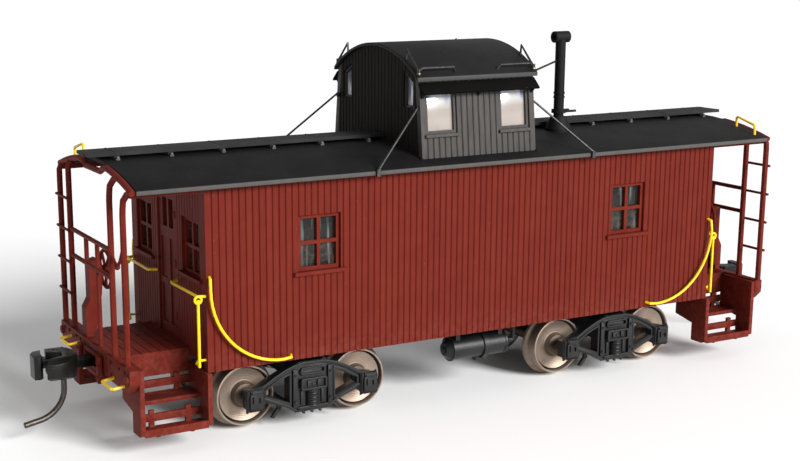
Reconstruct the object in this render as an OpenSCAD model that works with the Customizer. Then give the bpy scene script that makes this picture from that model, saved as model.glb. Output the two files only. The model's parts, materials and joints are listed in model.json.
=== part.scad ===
// Scale-model cabin car (caboose) on two swivelling four-wheel trucks, with
// knuckle couplers, a cupola, open end platforms and wire handrails.
// Units are millimetres. X runs along the car, Z is up, and the origin is on
// the ground under the middle of the car. The "front" end is the -X end.

/* [Body] */
// Length of the body over its end walls
body_l = 93.8; // [80:0.2:112]
// Width of the body over the side boards
body_w = 30.8; // [25.8:0.2:37]
// Height of the bottom edge of the side boards
side_base = 11.7; // [11.5:0.1:13]
// Thickness of the side and end walls
wall_t = 1.4; // [1.1:0.1:1.7]
// Width of one siding board
board_w = 1.05; // [0.8:0.05:1.4]
// Depth of the groove between two boards
groove_d = 0.16; // [0.1:0.01:0.25]
// Height of the floor and of the end platforms
floor_z = 13.8; // [13.4:0.1:15]
// Thickness of the floor
floor_t = 1.2; // [0.9:0.1:1.5]

/* [Windows and doors] */
// Width of a body window opening
window_w = 7; // [5.5:0.1:8.4]
// Height of a body window opening
window_h = 8.4; // [6.8:0.1:9.6]
// Height of the bottom of the body windows
window_z = 25; // [23:0.1:27]
// Distance from the car's middle to the middle of a side window
side_window_x = 28.7; // [24:0.1:34]
// Distance from the car's middle line to the middle of an end window
end_window_y = 9.6; // [9:0.1:9.9]
// Width of the window bars
bar_w = 0.55; // [0.4:0.05:0.7]
// Width of an end door
door_w = 7.4; // [6:0.1:8]
// Height of an end door
door_h = 22.4; // [19:0.1:23.4]

/* [Roof] */
// How far each end of the roof stops short of the end sill's inner face
roof_short = 0.15; // [0:0.05:1]
// Overhang of the eaves beyond the side walls
eave_out = 1.55; // [1.2:0.05:2]
// Height of the top of the eaves
eave_z = 39.3; // [38:0.1:42]
// Rise of the roof from the eaves to the crown
roof_rise = 2.5; // [2:0.1:3.2]
// Thickness of the roof
roof_t = 0.65; // [0.6:0.1:1]
// Width of one running-board plank
plank_w = 1.6; // [1.3:0.1:1.9]
// Gap between two running-board planks
plank_gap = 0.25; // [0.15:0.05:0.4]
// Spacing of the running-board saddles
saddle_pitch = 8.3; // [7:0.1:10]

/* [Cupola] */
// Length of the cupola over its end walls
cupola_l = 21; // [17.5:0.1:25]
// Width of the cupola where it meets the roof
cupola_w = 28.6; // [24:0.1:30]
// How far each cupola side leans in over its height
cupola_lean = 1.3; // [0.8:0.1:2]
// Height of the underside of the cupola eaves
cupola_eave_z = 51.8; // [49:0.1:54]
// Rise of the cupola roof from its eaves to its crown
cupola_rise = 4.6; // [3.8:0.1:5.5]
// Thickness of the cupola walls
cupola_wall_t = 1; // [0.8:0.1:1.2]
// Overhang of the cupola roof beyond the walls
cupola_overhang = 0.55; // [0.4:0.05:0.8]
// Width of a cupola side window opening
cupola_window_w = 5.6; // [4.6:0.1:6.4]
// Height of a cupola side window opening
cupola_window_h = 6.4; // [5.4:0.1:7]

/* [Smokejack] */
// Distance of the smokejack from the car's middle, along the car
jack_x = 21.6; // [18:0.1:26]
// Distance of the smokejack from the car's middle line
jack_y = 5.2; // [4.5:0.1:7]
// Height of the top of the smokejack
jack_top_z = 58; // [52:0.1:60]
// Diameter of the smokejack pipe
jack_d = 1.7; // [1.4:0.1:2]

/* [Ends] */
// Length of an end platform, from the end wall to the end sill
platform_l = 10.7; // [9:0.1:13]
// Width of the platform floor between the step wells
platform_w = 16.8; // [14:0.1:18.6]
// Height of the end sill
end_sill_h = 3.6; // [3:0.1:4.2]
// Thickness of the end sill
end_sill_t = 1.5; // [1.2:0.1:1.8]
// Height of the underside of the steps
step_base = 3.6; // [3:0.1:4.5]
// Diameter of the railing posts
post_d = 0.95; // [0.7:0.05:1.1]
// Diameter of the wire grab irons
wire_d = 0.45; // [0.35:0.05:0.6]
// Diameter of the brake wheel
brake_wheel_d = 6.3; // [5:0.1:7]

/* [Trucks] */
// Distance from the car's middle to the middle of a truck
truck_x = 29.05; // [26:0.05:31]
// Distance between the two axles of a truck
wheelbase = 19.3; // [17.5:0.1:20.5]
// Diameter of a wheel at its tread
tread_d = 9.6; // [9.2:0.1:9.8]
// Height of the wheel flange
flange_h = 0.65; // [0.5:0.05:0.75]
// Distance between the backs of the two wheels of an axle
back_to_back = 14.4; // [14:0.1:14.6]
// Width of a wheel
wheel_w = 2.8; // [2.6:0.1:2.9]
// Diameter of the axle
axle_d = 2; // [1.6:0.1:2.4]
// Gap round an axle stub in its side frame
bearing_gap = 0.06; // [0.03:0.01:0.1]

/* [Couplers] */
// Height of the middle of the coupler
coupler_z = 11.4; // [10.9:0.1:12]
// Distance from the end sill's face to the front of the knuckle
coupler_reach = 9.3; // [8:0.1:10.5]
// Play round the coupler shank and the knuckle
coupler_gap = 0.15; // [0.1:0.01:0.2]

/* [Hidden] */
$fn = 48;
e = 0.01;

// Colours
oxide_red = [0.50, 0.20, 0.17];
roof_black = [0.12, 0.12, 0.12];
rail_yellow = [1.00, 0.84, 0.05];
truck_black = [0.15, 0.15, 0.16];
wheel_metal = [0.62, 0.54, 0.46];
pane_grey = [0.75, 0.80, 0.85];

// Body
half_l = body_l / 2;
half_w = body_w / 2;
roof_l = body_l + 2 * (platform_l - roof_short);
roof_w = body_w + 2 * eave_out;
roof_r = (pow(roof_w / 2, 2) + pow(roof_rise, 2)) / (2 * roof_rise);
roof_cz = eave_z + roof_rise - roof_r;
crown_z = eave_z + roof_rise;
// Height of the roof's top surface at a distance y from the middle line
function roof_z(y) = roof_cz + sqrt(roof_r * roof_r - y * y);
// Height of the roof's underside
function ceiling_z(y) = roof_cz + sqrt(pow(roof_r - roof_t, 2) - y * y);
wall_top = ceiling_z(half_w) - 0.02;
floor_base = floor_z - floor_t;

// Windows
pane_t = 0.3;
sash_t = 0.5;
reveal = 0.45;
sash_gap = 0.02;
sill_h = 0.55;
sill_out = 0.5;
sill_over = 0.8;
door_t = 0.9;
door_setback = 0.3;
door_light_w = 1.8;
door_light_h = 4.4;
door_light_top = 1.3;
door_light_gap = 0.7;

// Running boards
board_t = 0.5;
boards_w = 3 * plank_w + 2 * plank_gap;
saddle_h = 0.45;
saddle_w = 0.8;
boards_out = 2.1;
boards_top = crown_z + saddle_h + board_t;

// Cupola
cupola_half_l = cupola_l / 2;
cupola_foot = roof_z(cupola_w / 2);
cupola_tilt = atan(cupola_lean / (cupola_eave_z - cupola_foot));
// Half width of the cupola at height z
function cupola_y(z) = cupola_w / 2 - (z - cupola_foot) * tan(cupola_tilt);
cupola_side_h = (cupola_eave_z - cupola_foot) / cos(cupola_tilt);
cupola_roof_t = 0.5;
cupola_eave_y = cupola_y(cupola_eave_z) + cupola_overhang;
cupola_r = (pow(cupola_eave_y, 2) + pow(cupola_rise, 2)) / (2 * cupola_rise);
cupola_cz = cupola_eave_z + cupola_roof_t + cupola_rise - cupola_r;
cupola_window_x = 6.75;
cupola_window_z = 43.7;
cupola_end_window_y = cupola_w / 2 - 4.45;
cupola_end_window_w = 2.9;
cupola_end_window_z = 47.4;
cupola_end_window_drop = 1.5;
cupola_sash_w = 0.45;
visor_l = cupola_l + 0.4;
visor_w = 2.3;
visor_t = 0.35;
visor_angle = 42;
visor_z = 51.55;

// Underframe
sill_y = 2.6;
centre_sill_w = 5;
centre_sill_h = 2.4;
side_sill_w = 1.2;
side_sill_h = 1.1;
boss_r = 3.2;
boss_z = 9.9;
screw_r = 1;
screw_head_r = 1.9;
weight_l = 78;
weight_w = 22;
weight_t = 2.6;

// Ends
sill_in_x = half_l + platform_l;
sill_out_x = sill_in_x + end_sill_t;
sill_bottom = floor_z - end_sill_h;
sill_half = half_w + 0.8;
post_x = sill_in_x + end_sill_t / 2;
ladder_y = [sill_half - 0.3, sill_half - 5];
rung_z = 19.2;
rung_pitch = 5;
gate_y = [-8, 1.9 - half_w];
rail_z = [25.4, 29.5];
rail_d = 0.7;
end_pipe_x = roof_l / 2 + post_d / 2;
end_pipe_drop = 0.9;
platform_t = 0.88;
step_plate_t = 0.7;
step_in_x = half_l - 0.35;
step_out_x = sill_in_x - 0.01;
step_back_y = platform_w / 2 + 0.01;
step_out_y = half_w + 0.65;
step_mid_y = step_out_y - 3.4;
step_rise = 3.7;
tread_t = 0.5;

// Trucks
axle_z = tread_d / 2 + flange_h;
wheel_out = back_to_back / 2 + wheel_w;
frame_in = wheel_out + 1.6;
frame_t = 1.6;
frame_out = frame_in + frame_t;
journal_w = 2.7;
journal_h = 3.2;
journal_out = frame_out + 0.75;
stub_r = 0.8;
axle_tip = frame_in + 0.9;
frame_top = 10.5;
frame_bottom = 2.7;
bolster_z = [7, boss_z - 0.1];

// Couplers
box_w = 7.6;
box_h = 3;
box_wall = 0.7;
box_in_x = half_l + 0.1;
box_out_x = sill_out_x + 0.3;
shank_w = 2.4;
shank_h = 1.3;
pivot_x = box_in_x + 3.2;
pivot_r = 0.9;
head_x = sill_out_x + coupler_reach - 7.6;
knuckle_x = sill_out_x + coupler_reach;
head_h = 3.4;
knuckle_pin = [knuckle_x - 3.4, -1.9];
knuckle_pin_r = 0.45;
jaw_z = 1.25;
jaw_t = 0.9;
trip_pin_r = 0.42;

// ---- helpers ----

// Turns children half round, from the front (-X) end to the rear end
module rear() { rotate([0, 0, 180]) children(); }
module near_and_far() {
    children();
    mirror([0, 1, 0]) children();
}
module all_corners() {
    near_and_far() { children(); mirror([1, 0, 0]) children(); }
}

// Wall of vertical boards: length along X, outer face at y = 0, body towards -y
module boards(length, height, t) {
    n = round(length / board_w);
    p = length / n;
    half_groove = groove_d * 0.9;
    grooves = [
        for (i = [n - 1 : -1 : 1])
            let (x = -length / 2 + i * p)
            each [[x + half_groove, 0], [x, -groove_d], [x - half_groove, 0]]
    ];
    outline = concat([[-length / 2, 0], [-length / 2, -t], [length / 2, -t], [length / 2, 0]], grooves);
    linear_extrude(height) polygon(outline);
}

// Straight round rod between two points
module rod(a, b, d) {
    v = b - a;
    h = norm(v);
    translate(a)
        rotate([0, acos(v[2] / h), atan2(v[1], v[0])])
            cylinder(d = d, h = h, $fn = 16);
}

// Bent wire: a round rod along a chain of points, as one swept skin
function unit(v) = v / norm(v);
function path_dir(p, i) =
    i == 0 ? unit(p[1] - p[0])
    : i == len(p) - 1 ? unit(p[i] - p[i - 1])
    : unit(unit(p[i + 1] - p[i]) + unit(p[i] - p[i - 1]));
function carried(p, n, i) =
    let (d = path_dir(p, i)) unit(n - d * (n * d));
function path_normals(p, n, i = 0, done = []) =
    i == len(p) ? done
    : let (next = carried(p, n, i)) path_normals(p, next, i + 1, concat(done, [next]));
module wire(p, d, start_normal = [0, 0, 1], sides = 8) {
    normals = path_normals(p, start_normal);
    rings = [
        for (i = [0 : len(p) - 1])
            let (u = normals[i], w = cross(path_dir(p, i), u))
            for (k = [0 : sides - 1])
                let (a = 360 * k / sides)
                p[i] + (u * cos(a) + w * sin(a)) * d / 2
    ];
    last = len(p) - 1;
    skin = [
        for (i = [0 : last - 1], k = [0 : sides - 1])
            let (a = i * sides + k, b = i * sides + (k + 1) % sides)
            each [[b + sides, b, a], [a + sides, b + sides, a]]
    ];
    ends = [[for (k = [0 : sides - 1]) k], [for (k = [sides - 1 : -1 : 0]) last * sides + k]];
    polyhedron(rings, concat(skin, ends));
}
// Points of an arc in the plane of two unit vectors, from angle a to angle b
function arc(c, u, w, r, a, b, n) =
    [for (i = [0 : n]) let (t = a + (b - a) * i / n) c + (u * cos(t) + w * sin(t)) * r];

// ---- body ----

module window_holes(x, z, w, h) {
    for (s = [-1, 1])
        translate([s * x - w / 2, -wall_t * 3, z]) cube([w, wall_t * 6, h]);
}

module side_wall() {
    color(oxide_red)
    difference() {
        translate([0, -half_w, side_base]) mirror([0, 1, 0])
            boards(body_l, wall_top - side_base, wall_t);
        translate([0, -half_w, 0]) window_holes(side_window_x, window_z, window_w, window_h);
    }
}

module end_wall() {
    span = body_w - 2 * wall_t;
    color(oxide_red)
    intersection() {
        difference() {
            translate([-half_l, 0, floor_base]) rotate([0, 0, 90])
                boards(span, crown_z - floor_base, wall_t);
            translate([-half_l, 0, 0]) rotate([0, 0, 90]) {
                window_holes(end_window_y, window_z, window_w - 0.4, window_h);
                translate([-door_w / 2, -wall_t * 3, floor_z]) cube([door_w, wall_t * 6, door_h]);
            }
        }
        translate([-half_l - 1, 0, roof_cz]) rotate([0, 90, 0])
            cylinder(r = roof_r - roof_t - 0.02, h = 4, $fn = 96);
    }
}

module end_door() {
    color(oxide_red)
    translate([-half_l + door_setback, 0, floor_z])
    difference() {
        translate([0, -door_w / 2 + sash_gap, 0])
            cube([door_t, door_w - 2 * sash_gap, door_h - sash_gap]);
        for (s = [-1, 1])
            translate([-1, s * (door_light_gap + door_light_w) / 2 - door_light_w / 2,
                       door_h - door_light_top - door_light_h])
                cube([3, door_light_w, door_light_h]);
        // sunk lower panels
        for (s = [-1, 1], row = [[1.6, 6], [8.6, 6.4]])
            translate([-1 + 0.2, s * 1.75 - 1.2, row[0]]) cube([1, 2.4, row[1]]);
    }
}

// Window frame with a cross of bars, in the XZ plane, outer face at y = 0
module sash(w, h) {
    bar = bar_w;
    translate([-w / 2 + sash_gap, 0, sash_gap])
    difference() {
        cube([w - 2 * sash_gap, sash_t, h - 2 * sash_gap]);
        pw = (w - 2 * sash_gap - 3 * bar) / 2;
        ph = (h - 2 * sash_gap - 3 * bar) / 2;
        for (i = [0, 1], k = [0, 1])
            translate([bar + i * (pw + bar), -1, bar + k * (ph + bar)]) cube([pw, 3, ph]);
    }
}
module window_sill(w) {
    translate([-w / 2 - sill_over, -sill_out, -sill_h]) cube([w + 2 * sill_over, sill_out, sill_h]);
}
module side_sashes() {
    color(oxide_red)
    near_and_far()
        for (s = [-1, 1])
            translate([s * side_window_x, -half_w, window_z]) {
                translate([0, reveal, 0]) sash(window_w, window_h);
                window_sill(window_w);
            }
}
module end_sashes() {
    color(oxide_red)
    for (turn = [-90, 90], s = [-1, 1])
        rotate([0, 0, turn]) translate([s * end_window_y, -half_l, window_z]) {
            translate([0, reveal, 0]) sash(window_w - 0.4, window_h);
            window_sill(window_w - 0.4);
        }
}

module body_glass() {
    pane_y = reveal + sash_t;
    color(pane_grey, 0.35) {
        near_and_far()
            for (s = [-1, 1])
                translate([s * side_window_x - window_w / 2 + 0.05, -half_w + pane_y, window_z + 0.05])
                    cube([window_w - 0.1, pane_t, window_h - 0.1]);
        for (turn = [-90, 90]) rotate([0, 0, turn]) {
            for (s = [-1, 1])
                translate([s * end_window_y - window_w / 2 + 0.25, -half_l + pane_y, window_z + 0.05])
                    cube([window_w - 0.5, pane_t, window_h - 0.1]);
            translate([-door_w / 2 + 0.8, -half_l + door_setback + door_t, floor_z + door_h - 7])
                cube([door_w - 1.6, pane_t, 6.4]);
        }
    }
}

// Curved sheet along X between two radii, cut to a half width
module curved_sheet(length, half, r, cz, t) {
    translate([-length / 2, 0, 0]) rotate([90, 0, 90]) linear_extrude(length)
        intersection() {
            translate([0, cz]) difference() {
                circle(r = r, $fn = 128);
                circle(r = r - t, $fn = 128);
            }
            translate([-half, cz]) square([2 * half, r + 1]);
        }
}

module roof() {
    color(roof_black) curved_sheet(roof_l, roof_w / 2, roof_r, roof_cz, roof_t);
}

// Three planks on saddles that follow the roof's curve, from the cupola outwards
module running_board() {
    inner = cupola_half_l + 0.05;
    outer = roof_l / 2 + boards_out;
    count = floor((roof_l / 2 - inner - saddle_w) / saddle_pitch);
    color(roof_black) {
        for (i = [-1 : 1])
            translate([-outer, i * (plank_w + plank_gap) - plank_w / 2, boards_top - board_t])
                cube([outer - inner, plank_w, board_t]);
        for (i = [0 : count])
            translate([-roof_l / 2 + 2.2 + i * saddle_pitch, 0, 0])
            difference() {
                translate([-saddle_w / 2, -boards_w / 2 - 0.35, crown_z - 0.4])
                    cube([saddle_w, boards_w + 0.7, boards_top - board_t - crown_z + 0.4 + e]);
                translate([-2, 0, roof_cz]) rotate([0, 90, 0]) cylinder(r = roof_r, h = 4, $fn = 128);
            }
    }
}

// ---- cupola ----

module above_roof() {
    difference() {
        children();
        translate([-cupola_l, 0, roof_cz]) rotate([0, 90, 0])
            cylinder(r = roof_r, h = 2 * cupola_l, $fn = 128);
    }
}
// Frame on the leaning near side: X along the car, y = 0 the outer face, z up the slope from the roof
module on_cupola_side() {
    translate([0, -cupola_w / 2, cupola_foot]) rotate([-cupola_tilt, 0, 0]) children();
}
cupola_window_up = (cupola_window_z - cupola_foot) / cos(cupola_tilt);

module cupola_sides() {
    color(roof_black)
    near_and_far() above_roof() intersection() {
        on_cupola_side() difference() {
            mirror([0, 1, 0]) translate([0, 0, -0.6])
                boards(cupola_l, cupola_side_h + 2, cupola_wall_t);
            window_holes(cupola_window_x, cupola_window_up, cupola_window_w, cupola_window_h);
        }
        translate([-cupola_l, 0, cupola_cz]) rotate([0, 90, 0])
            cylinder(r = cupola_r - cupola_roof_t - 0.02, h = 2 * cupola_l, $fn = 128);
    }
}

// Outline of the space between the cupola's sides, under its roof
module cupola_section() {
    inset = cupola_wall_t / cos(cupola_tilt) + 0.01;
    intersection() {
        polygon([
            [-cupola_y(30) + inset, 30], [cupola_y(30) - inset, 30],
            [cupola_y(70) - inset, 70], [-cupola_y(70) + inset, 70]
        ]);
        translate([0, cupola_cz]) circle(r = cupola_r - cupola_roof_t - 0.02, $fn = 128);
    }
}
// Outline of a cupola end window on the near side; its head follows the roof
module end_window_outline(shrink) {
    y0 = -cupola_end_window_y - cupola_end_window_w / 2 + shrink;
    intersection() {
        translate([y0, cupola_end_window_z + shrink]) square([cupola_end_window_w - 2 * shrink, 10]);
        translate([0, cupola_cz])
            circle(r = cupola_r - cupola_roof_t - cupola_end_window_drop - shrink, $fn = 128);
    }
}
module cupola_ends() {
    color(roof_black)
    above_roof() for (turn = [0, 180]) rotate([0, 0, turn])
        difference() {
            intersection() {
                translate([-cupola_half_l, 0, cupola_foot]) rotate([0, 0, 90])
                    boards(cupola_w - 2, 20, cupola_wall_t);
                translate([-cupola_half_l - 1, 0, 0]) rotate([90, 0, 90]) linear_extrude(3) cupola_section();
            }
            near_and_far() translate([-cupola_half_l - 1, 0, 0]) rotate([90, 0, 90])
                linear_extrude(3) end_window_outline(0);
        }
}
module cupola_roof() {
    color(roof_black)
        curved_sheet(cupola_l + 2 * cupola_overhang, cupola_eave_y, cupola_r, cupola_cz, cupola_roof_t);
}
module cupola_visors() {
    color(roof_black)
    near_and_far()
        translate([0, -cupola_y(visor_z) - 0.02, visor_z]) rotate([visor_angle, 0, 0])
            difference() {
                translate([-visor_l / 2, -visor_w, -visor_t]) cube([visor_l, visor_w, visor_t]);
                // back edge cut to lie against the wall
                rotate([-visor_angle - cupola_tilt, 0, 0])
                    translate([-visor_l, 0, -4]) cube([2 * visor_l, 4, 8]);
            }
}

module cupola_sashes() {
    w = cupola_window_w - 2 * sash_gap;
    h = cupola_window_h - 2 * sash_gap;
    bar = cupola_sash_w;
    color(roof_black) {
        near_and_far() on_cupola_side()
            for (s = [-1, 1]) translate([s * cupola_window_x, 0, cupola_window_up]) {
                translate([-w / 2, 0.3, sash_gap]) difference() {
                    cube([w, 0.4, h]);
                    translate([bar, -1, bar]) cube([w - 2 * bar, 3, h - 2 * bar]);
                }
                translate([-w / 2 - 0.3, -0.4, -0.5]) cube([w + 0.6, 0.4, 0.45]);
            }
        for (turn = [0, 180]) rotate([0, 0, turn]) near_and_far()
            translate([-cupola_half_l + 0.3, 0, 0]) rotate([90, 0, 90]) linear_extrude(0.4)
            difference() {
                end_window_outline(sash_gap);
                end_window_outline(0.35);
            }
    }
}
module cupola_glass() {
    color(pane_grey, 0.35) {
        near_and_far() on_cupola_side() for (s = [-1, 1])
            translate([s * cupola_window_x - cupola_window_w / 2 + 0.05, 0.7, cupola_window_up + 0.05])
                cube([cupola_window_w - 0.1, pane_t - 0.05, cupola_window_h - 0.1]);
        for (turn = [0, 180]) rotate([0, 0, turn]) near_and_far()
            translate([-cupola_half_l + 0.7, 0, 0]) rotate([90, 0, 90])
                linear_extrude(pane_t - 0.05) end_window_outline(0.05);
    }
}

// Wire handrail round each corner of the cupola roof: one leg along the end, one along the eave
module cupola_handrails() {
    d = 0.38;
    corner_x = cupola_half_l + cupola_overhang - 0.5;
    corner_y = cupola_eave_y - 0.55;
    lift = 1;
    end_lift = 1.5;
    function top(y) = cupola_cz + sqrt(cupola_r * cupola_r - y * y);
    along_y = corner_y - 3.6;
    color(roof_black)
    all_corners() {
        corner = [-corner_x, -corner_y, top(corner_y) + 0.6];
        wire([[-corner_x, -along_y, top(along_y)],
              [-corner_x, -along_y - 0.2, top(along_y) + end_lift],
              [-corner_x, -corner_y + 0.6, top(corner_y) + lift], corner,
              [-corner_x + 0.7, -corner_y, top(corner_y) + lift],
              [-corner_x + 6.2, -corner_y, top(corner_y) + lift],
              [-corner_x + 6.7, -corner_y + 0.35, top(corner_y) + 0.2]], d, [0, 0.6, 0.8]);
        translate([-corner_x, -corner_y, top(corner_y) - 0.05]) cylinder(d = d + 0.2, h = 0.9, $fn = 16);
    }
}

// ---- roof fittings ----

module smokejack() {
    z0 = roof_z(jack_y);
    cap_l = 2.8;
    cap_d = 1.9;
    base_d = 4.3;
    neck_d = 2.7;
    base_h = 2.3;
    cap_z = jack_top_z - cap_d / 2;
    color(roof_black)
    translate([jack_x, -jack_y, 0])
    difference() {
        union() {
            cylinder(d = jack_d, h = cap_z);
            // flared base
            translate([0, 0, z0 - 0.6]) cylinder(d = base_d, h = 1);
            translate([0, 0, z0 + 0.4]) cylinder(d1 = base_d, d2 = neck_d, h = base_h - 0.4);
            // bands
            for (z = [z0 + 5.4, z0 + 6.1])
                translate([0, 0, z]) cylinder(d = jack_d + 0.2, h = 0.3);
            // clamp with its two rods
            translate([0, 0, z0 + 2.9]) cylinder(d = jack_d + 0.7, h = 0.6);
            for (s = [-1, 1])
                translate([0, s * (jack_d / 2 + 0.1), z0 + 3.2]) rotate([0, 90, 0])
                    cylinder(d = 0.4, h = 2.8, $fn = 16);
            // tee head
            translate([0, 0, cap_z]) rotate([0, 90, 0]) cylinder(d = cap_d, h = cap_l, center = true);
        }
        translate([0, 0, cap_z]) rotate([0, 90, 0])
            cylinder(d = cap_d - 0.8, h = cap_l + 1, center = true);
        // foot cut to the roof's curve
        translate([-4, jack_y, roof_cz]) rotate([0, 90, 0]) cylinder(r = roof_r, h = 8, $fn = 128);
    }
}

module guy_wires() {
    d = 0.34;
    foot_x = 19.8;
    foot_t = 0.4;
    top_z = 47.7;
    color(roof_black) {
        all_corners() {
            foot_y = -roof_w / 2 - foot_t;
            rod([-cupola_half_l - 0.25, -cupola_y(top_z) + 0.4, top_z],
                [-foot_x, foot_y + foot_t / 2, eave_z + 0.15], d);
            translate([-foot_x - 0.3, foot_y, eave_z - 0.8]) cube([0.6, foot_t - 0.01, 1.1]);
        }
        rod([cupola_half_l + cupola_overhang + 0.05, -cupola_eave_y + 0.6, cupola_eave_z + 0.75],
            [jack_x - jack_d / 2 + 0.02, -jack_y, jack_top_z - 4.9], d);
    }
}

// Two yellow hoops on the roof, near the end above each ladder
module roof_grab_irons() {
    color(rail_yellow)
    for (turn = [0, 180]) rotate([0, 0, turn]) {
        x = -roof_l / 2 + 1.6;
        y = [15.4, 11];
        rise = 1.7;
        z = [roof_z(y[0]), roof_z(y[1])];
        wire([[x, y[0], z[0]], [x, y[0], z[0] + rise - 0.25], [x, y[0] - 0.25, z[0] + rise],
              [x, y[1] + 0.25, z[1] + rise], [x, y[1], z[1] + rise - 0.25], [x, y[1], z[1]]],
             wire_d, [1, 0, 0]);
    }
}

// ---- underframe ----

module underframe() {
    inner_w = body_w - 2 * wall_t - 0.04;
    color(truck_black) {
        translate([-half_l + wall_t + 0.02, -inner_w / 2, floor_base])
            cube([body_l - 2 * wall_t - 0.04, inner_w, floor_t]);
        for (y = [-sill_y, sill_y])
            translate([-half_l, y - 0.6, floor_base - centre_sill_h])
                cube([body_l, 1.2, centre_sill_h - e]);
        for (s = [-1, 1]) {
            translate([s * truck_x, 0, 0]) difference() {
                union() {
                    translate([0, 0, boss_z]) cylinder(r = boss_r, h = floor_base - boss_z + e);
                    translate([-1.5, -half_w + wall_t + 0.3, floor_base - 0.8])
                        cube([3, body_w - 2 * wall_t - 0.6, 0.8 + e]);
                }
                translate([0, 0, boss_z - 1]) cylinder(r = screw_r, h = floor_base - boss_z + 2);
            }
            translate([s * 13 - 0.8, -half_w + wall_t + 0.3, floor_base - 1.4])
                cube([1.6, body_w - 2 * wall_t - 0.6, 1.4 + e]);
        }
    }
}

module truck_screws() {
    color("silver")
    for (s = [-1, 1]) translate([s * truck_x, 0, 0]) difference() {
        union() {
            translate([0, 0, bolster_z[0] - 0.75]) cylinder(r = screw_head_r, h = 0.7);
            translate([0, 0, bolster_z[0] - 0.06])
                cylinder(r = screw_r - 0.02, h = floor_base - bolster_z[0] + 0.04);
        }
        for (turn = [0, 90]) rotate([0, 0, turn])
            translate([-1.2, -0.22, bolster_z[0] - 1]) cube([2.4, 0.44, 0.7]);
    }
}

module steel_weight() {
    color("slategray")
    translate([-weight_l / 2, -weight_w / 2, floor_z]) cube([weight_l, weight_w, weight_t]);
}

module air_reservoir() {
    r = 1.95;
    l = 10.4;
    x0 = -2.3;
    y = 9.6;
    z = 7.75;
    dome = 0.9;
    pipe_r = 0.35;
    leg_h = floor_base - z - 0.02;
    color(truck_black) translate([0, -y, z]) {
        rotate([0, 90, 0]) translate([0, 0, x0]) {
            cylinder(r = r, h = l);
            // domed ends
            translate([0, 0, -dome]) cylinder(r1 = r - 0.9, r2 = r - 0.1, h = dome + e);
            translate([0, 0, l - e]) cylinder(r1 = r - 0.1, r2 = r - 0.9, h = dome + e);
            // strap round the middle, and a band at each end
            translate([0, 0, l / 2 + 0.6]) cylinder(r = r + 0.28, h = 0.9);
            for (x = [0, l - 0.35]) translate([0, 0, x]) cylinder(r = r + 0.1, h = 0.35);
        }
        for (x = [x0 + 0.7, x0 + l - 1.5])
            translate([x, -1.2, 0]) cube([0.8, 2.4, leg_h]);
        // drain tap and the seam along the tank
        translate([x0 + l / 2 - 0.2, -0.6, -r - 0.6]) cube([1.7, 1.2, 1]);
        translate([x0 + 0.2, -r - 0.12, -0.15]) cube([l - 0.4, 0.5, 0.3]);
        // pipe that turns up into the floor
        translate([x0 + l + dome - 0.1, 0, 0]) rotate([0, 90, 0]) cylinder(r = pipe_r, h = 1.5, $fn = 16);
        translate([x0 + l + dome + 1.4, 0, 0]) cylinder(r = pipe_r, h = leg_h, $fn = 16);
        translate([x0 + l + dome + 1.4, 0, 0]) sphere(r = pipe_r, $fn = 16);
    }
}

module brake_cylinder() {
    z = 9.2;
    y = 8.6;
    x = 2;
    color(truck_black) translate([x, y, z]) {
        rotate([0, 90, 0]) cylinder(r = 1.9, h = 5.5);
        translate([-0.5, 0, 0]) rotate([0, 90, 0]) cylinder(r = 2.3, h = 0.8);
        translate([-5.4, 0, 0]) rotate([0, 90, 0]) cylinder(r = 0.35, h = 5.5, $fn = 16);
        translate([1, -1, 1]) cube([3.4, 2, floor_base - z - 1.02]);
        // live lever from the piston rod to the middle of the car
        translate([-5.8, -8.4, -0.25]) cube([0.8, 9, 0.5]);
    }
}

// ---- ends (modelled at the front, -X) ----

module platform() {
    color(oxide_red) translate([-sill_in_x, 0, 0]) difference() {
        translate([0, -platform_w / 2, floor_z - platform_t])
            cube([platform_l - e, platform_w, platform_t]);
        // gaps between the floor boards
        for (x = [1.5 : 1.5 : platform_l - 1])
            translate([x, -platform_w / 2 - 1, floor_z - 0.12]) cube([0.14, platform_w + 2, 1]);
    }
    color(oxide_red) near_and_far()
        translate([-sill_in_x, -platform_w / 2, sill_bottom])
            cube([platform_l - e, 0.6, end_sill_h - platform_t + e]);
}

module end_sill() {
    color(oxide_red) difference() {
        translate([-sill_out_x, -sill_half, sill_bottom])
            cube([end_sill_t - e, 2 * sill_half, end_sill_h]);
        // pocket round the draft box
        translate([-sill_out_x - 1, -box_w / 2 - 0.02, coupler_z - box_h / 2 - 3])
            cube([4, box_w + 0.04, box_h + 3.02]);
        // sloping lower corners
        near_and_far() translate([-sill_out_x - 1, -sill_half, sill_bottom]) rotate([45, 0, 0])
            translate([0, -1, -1]) cube([4, 2, 2]);
    }
}

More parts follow.
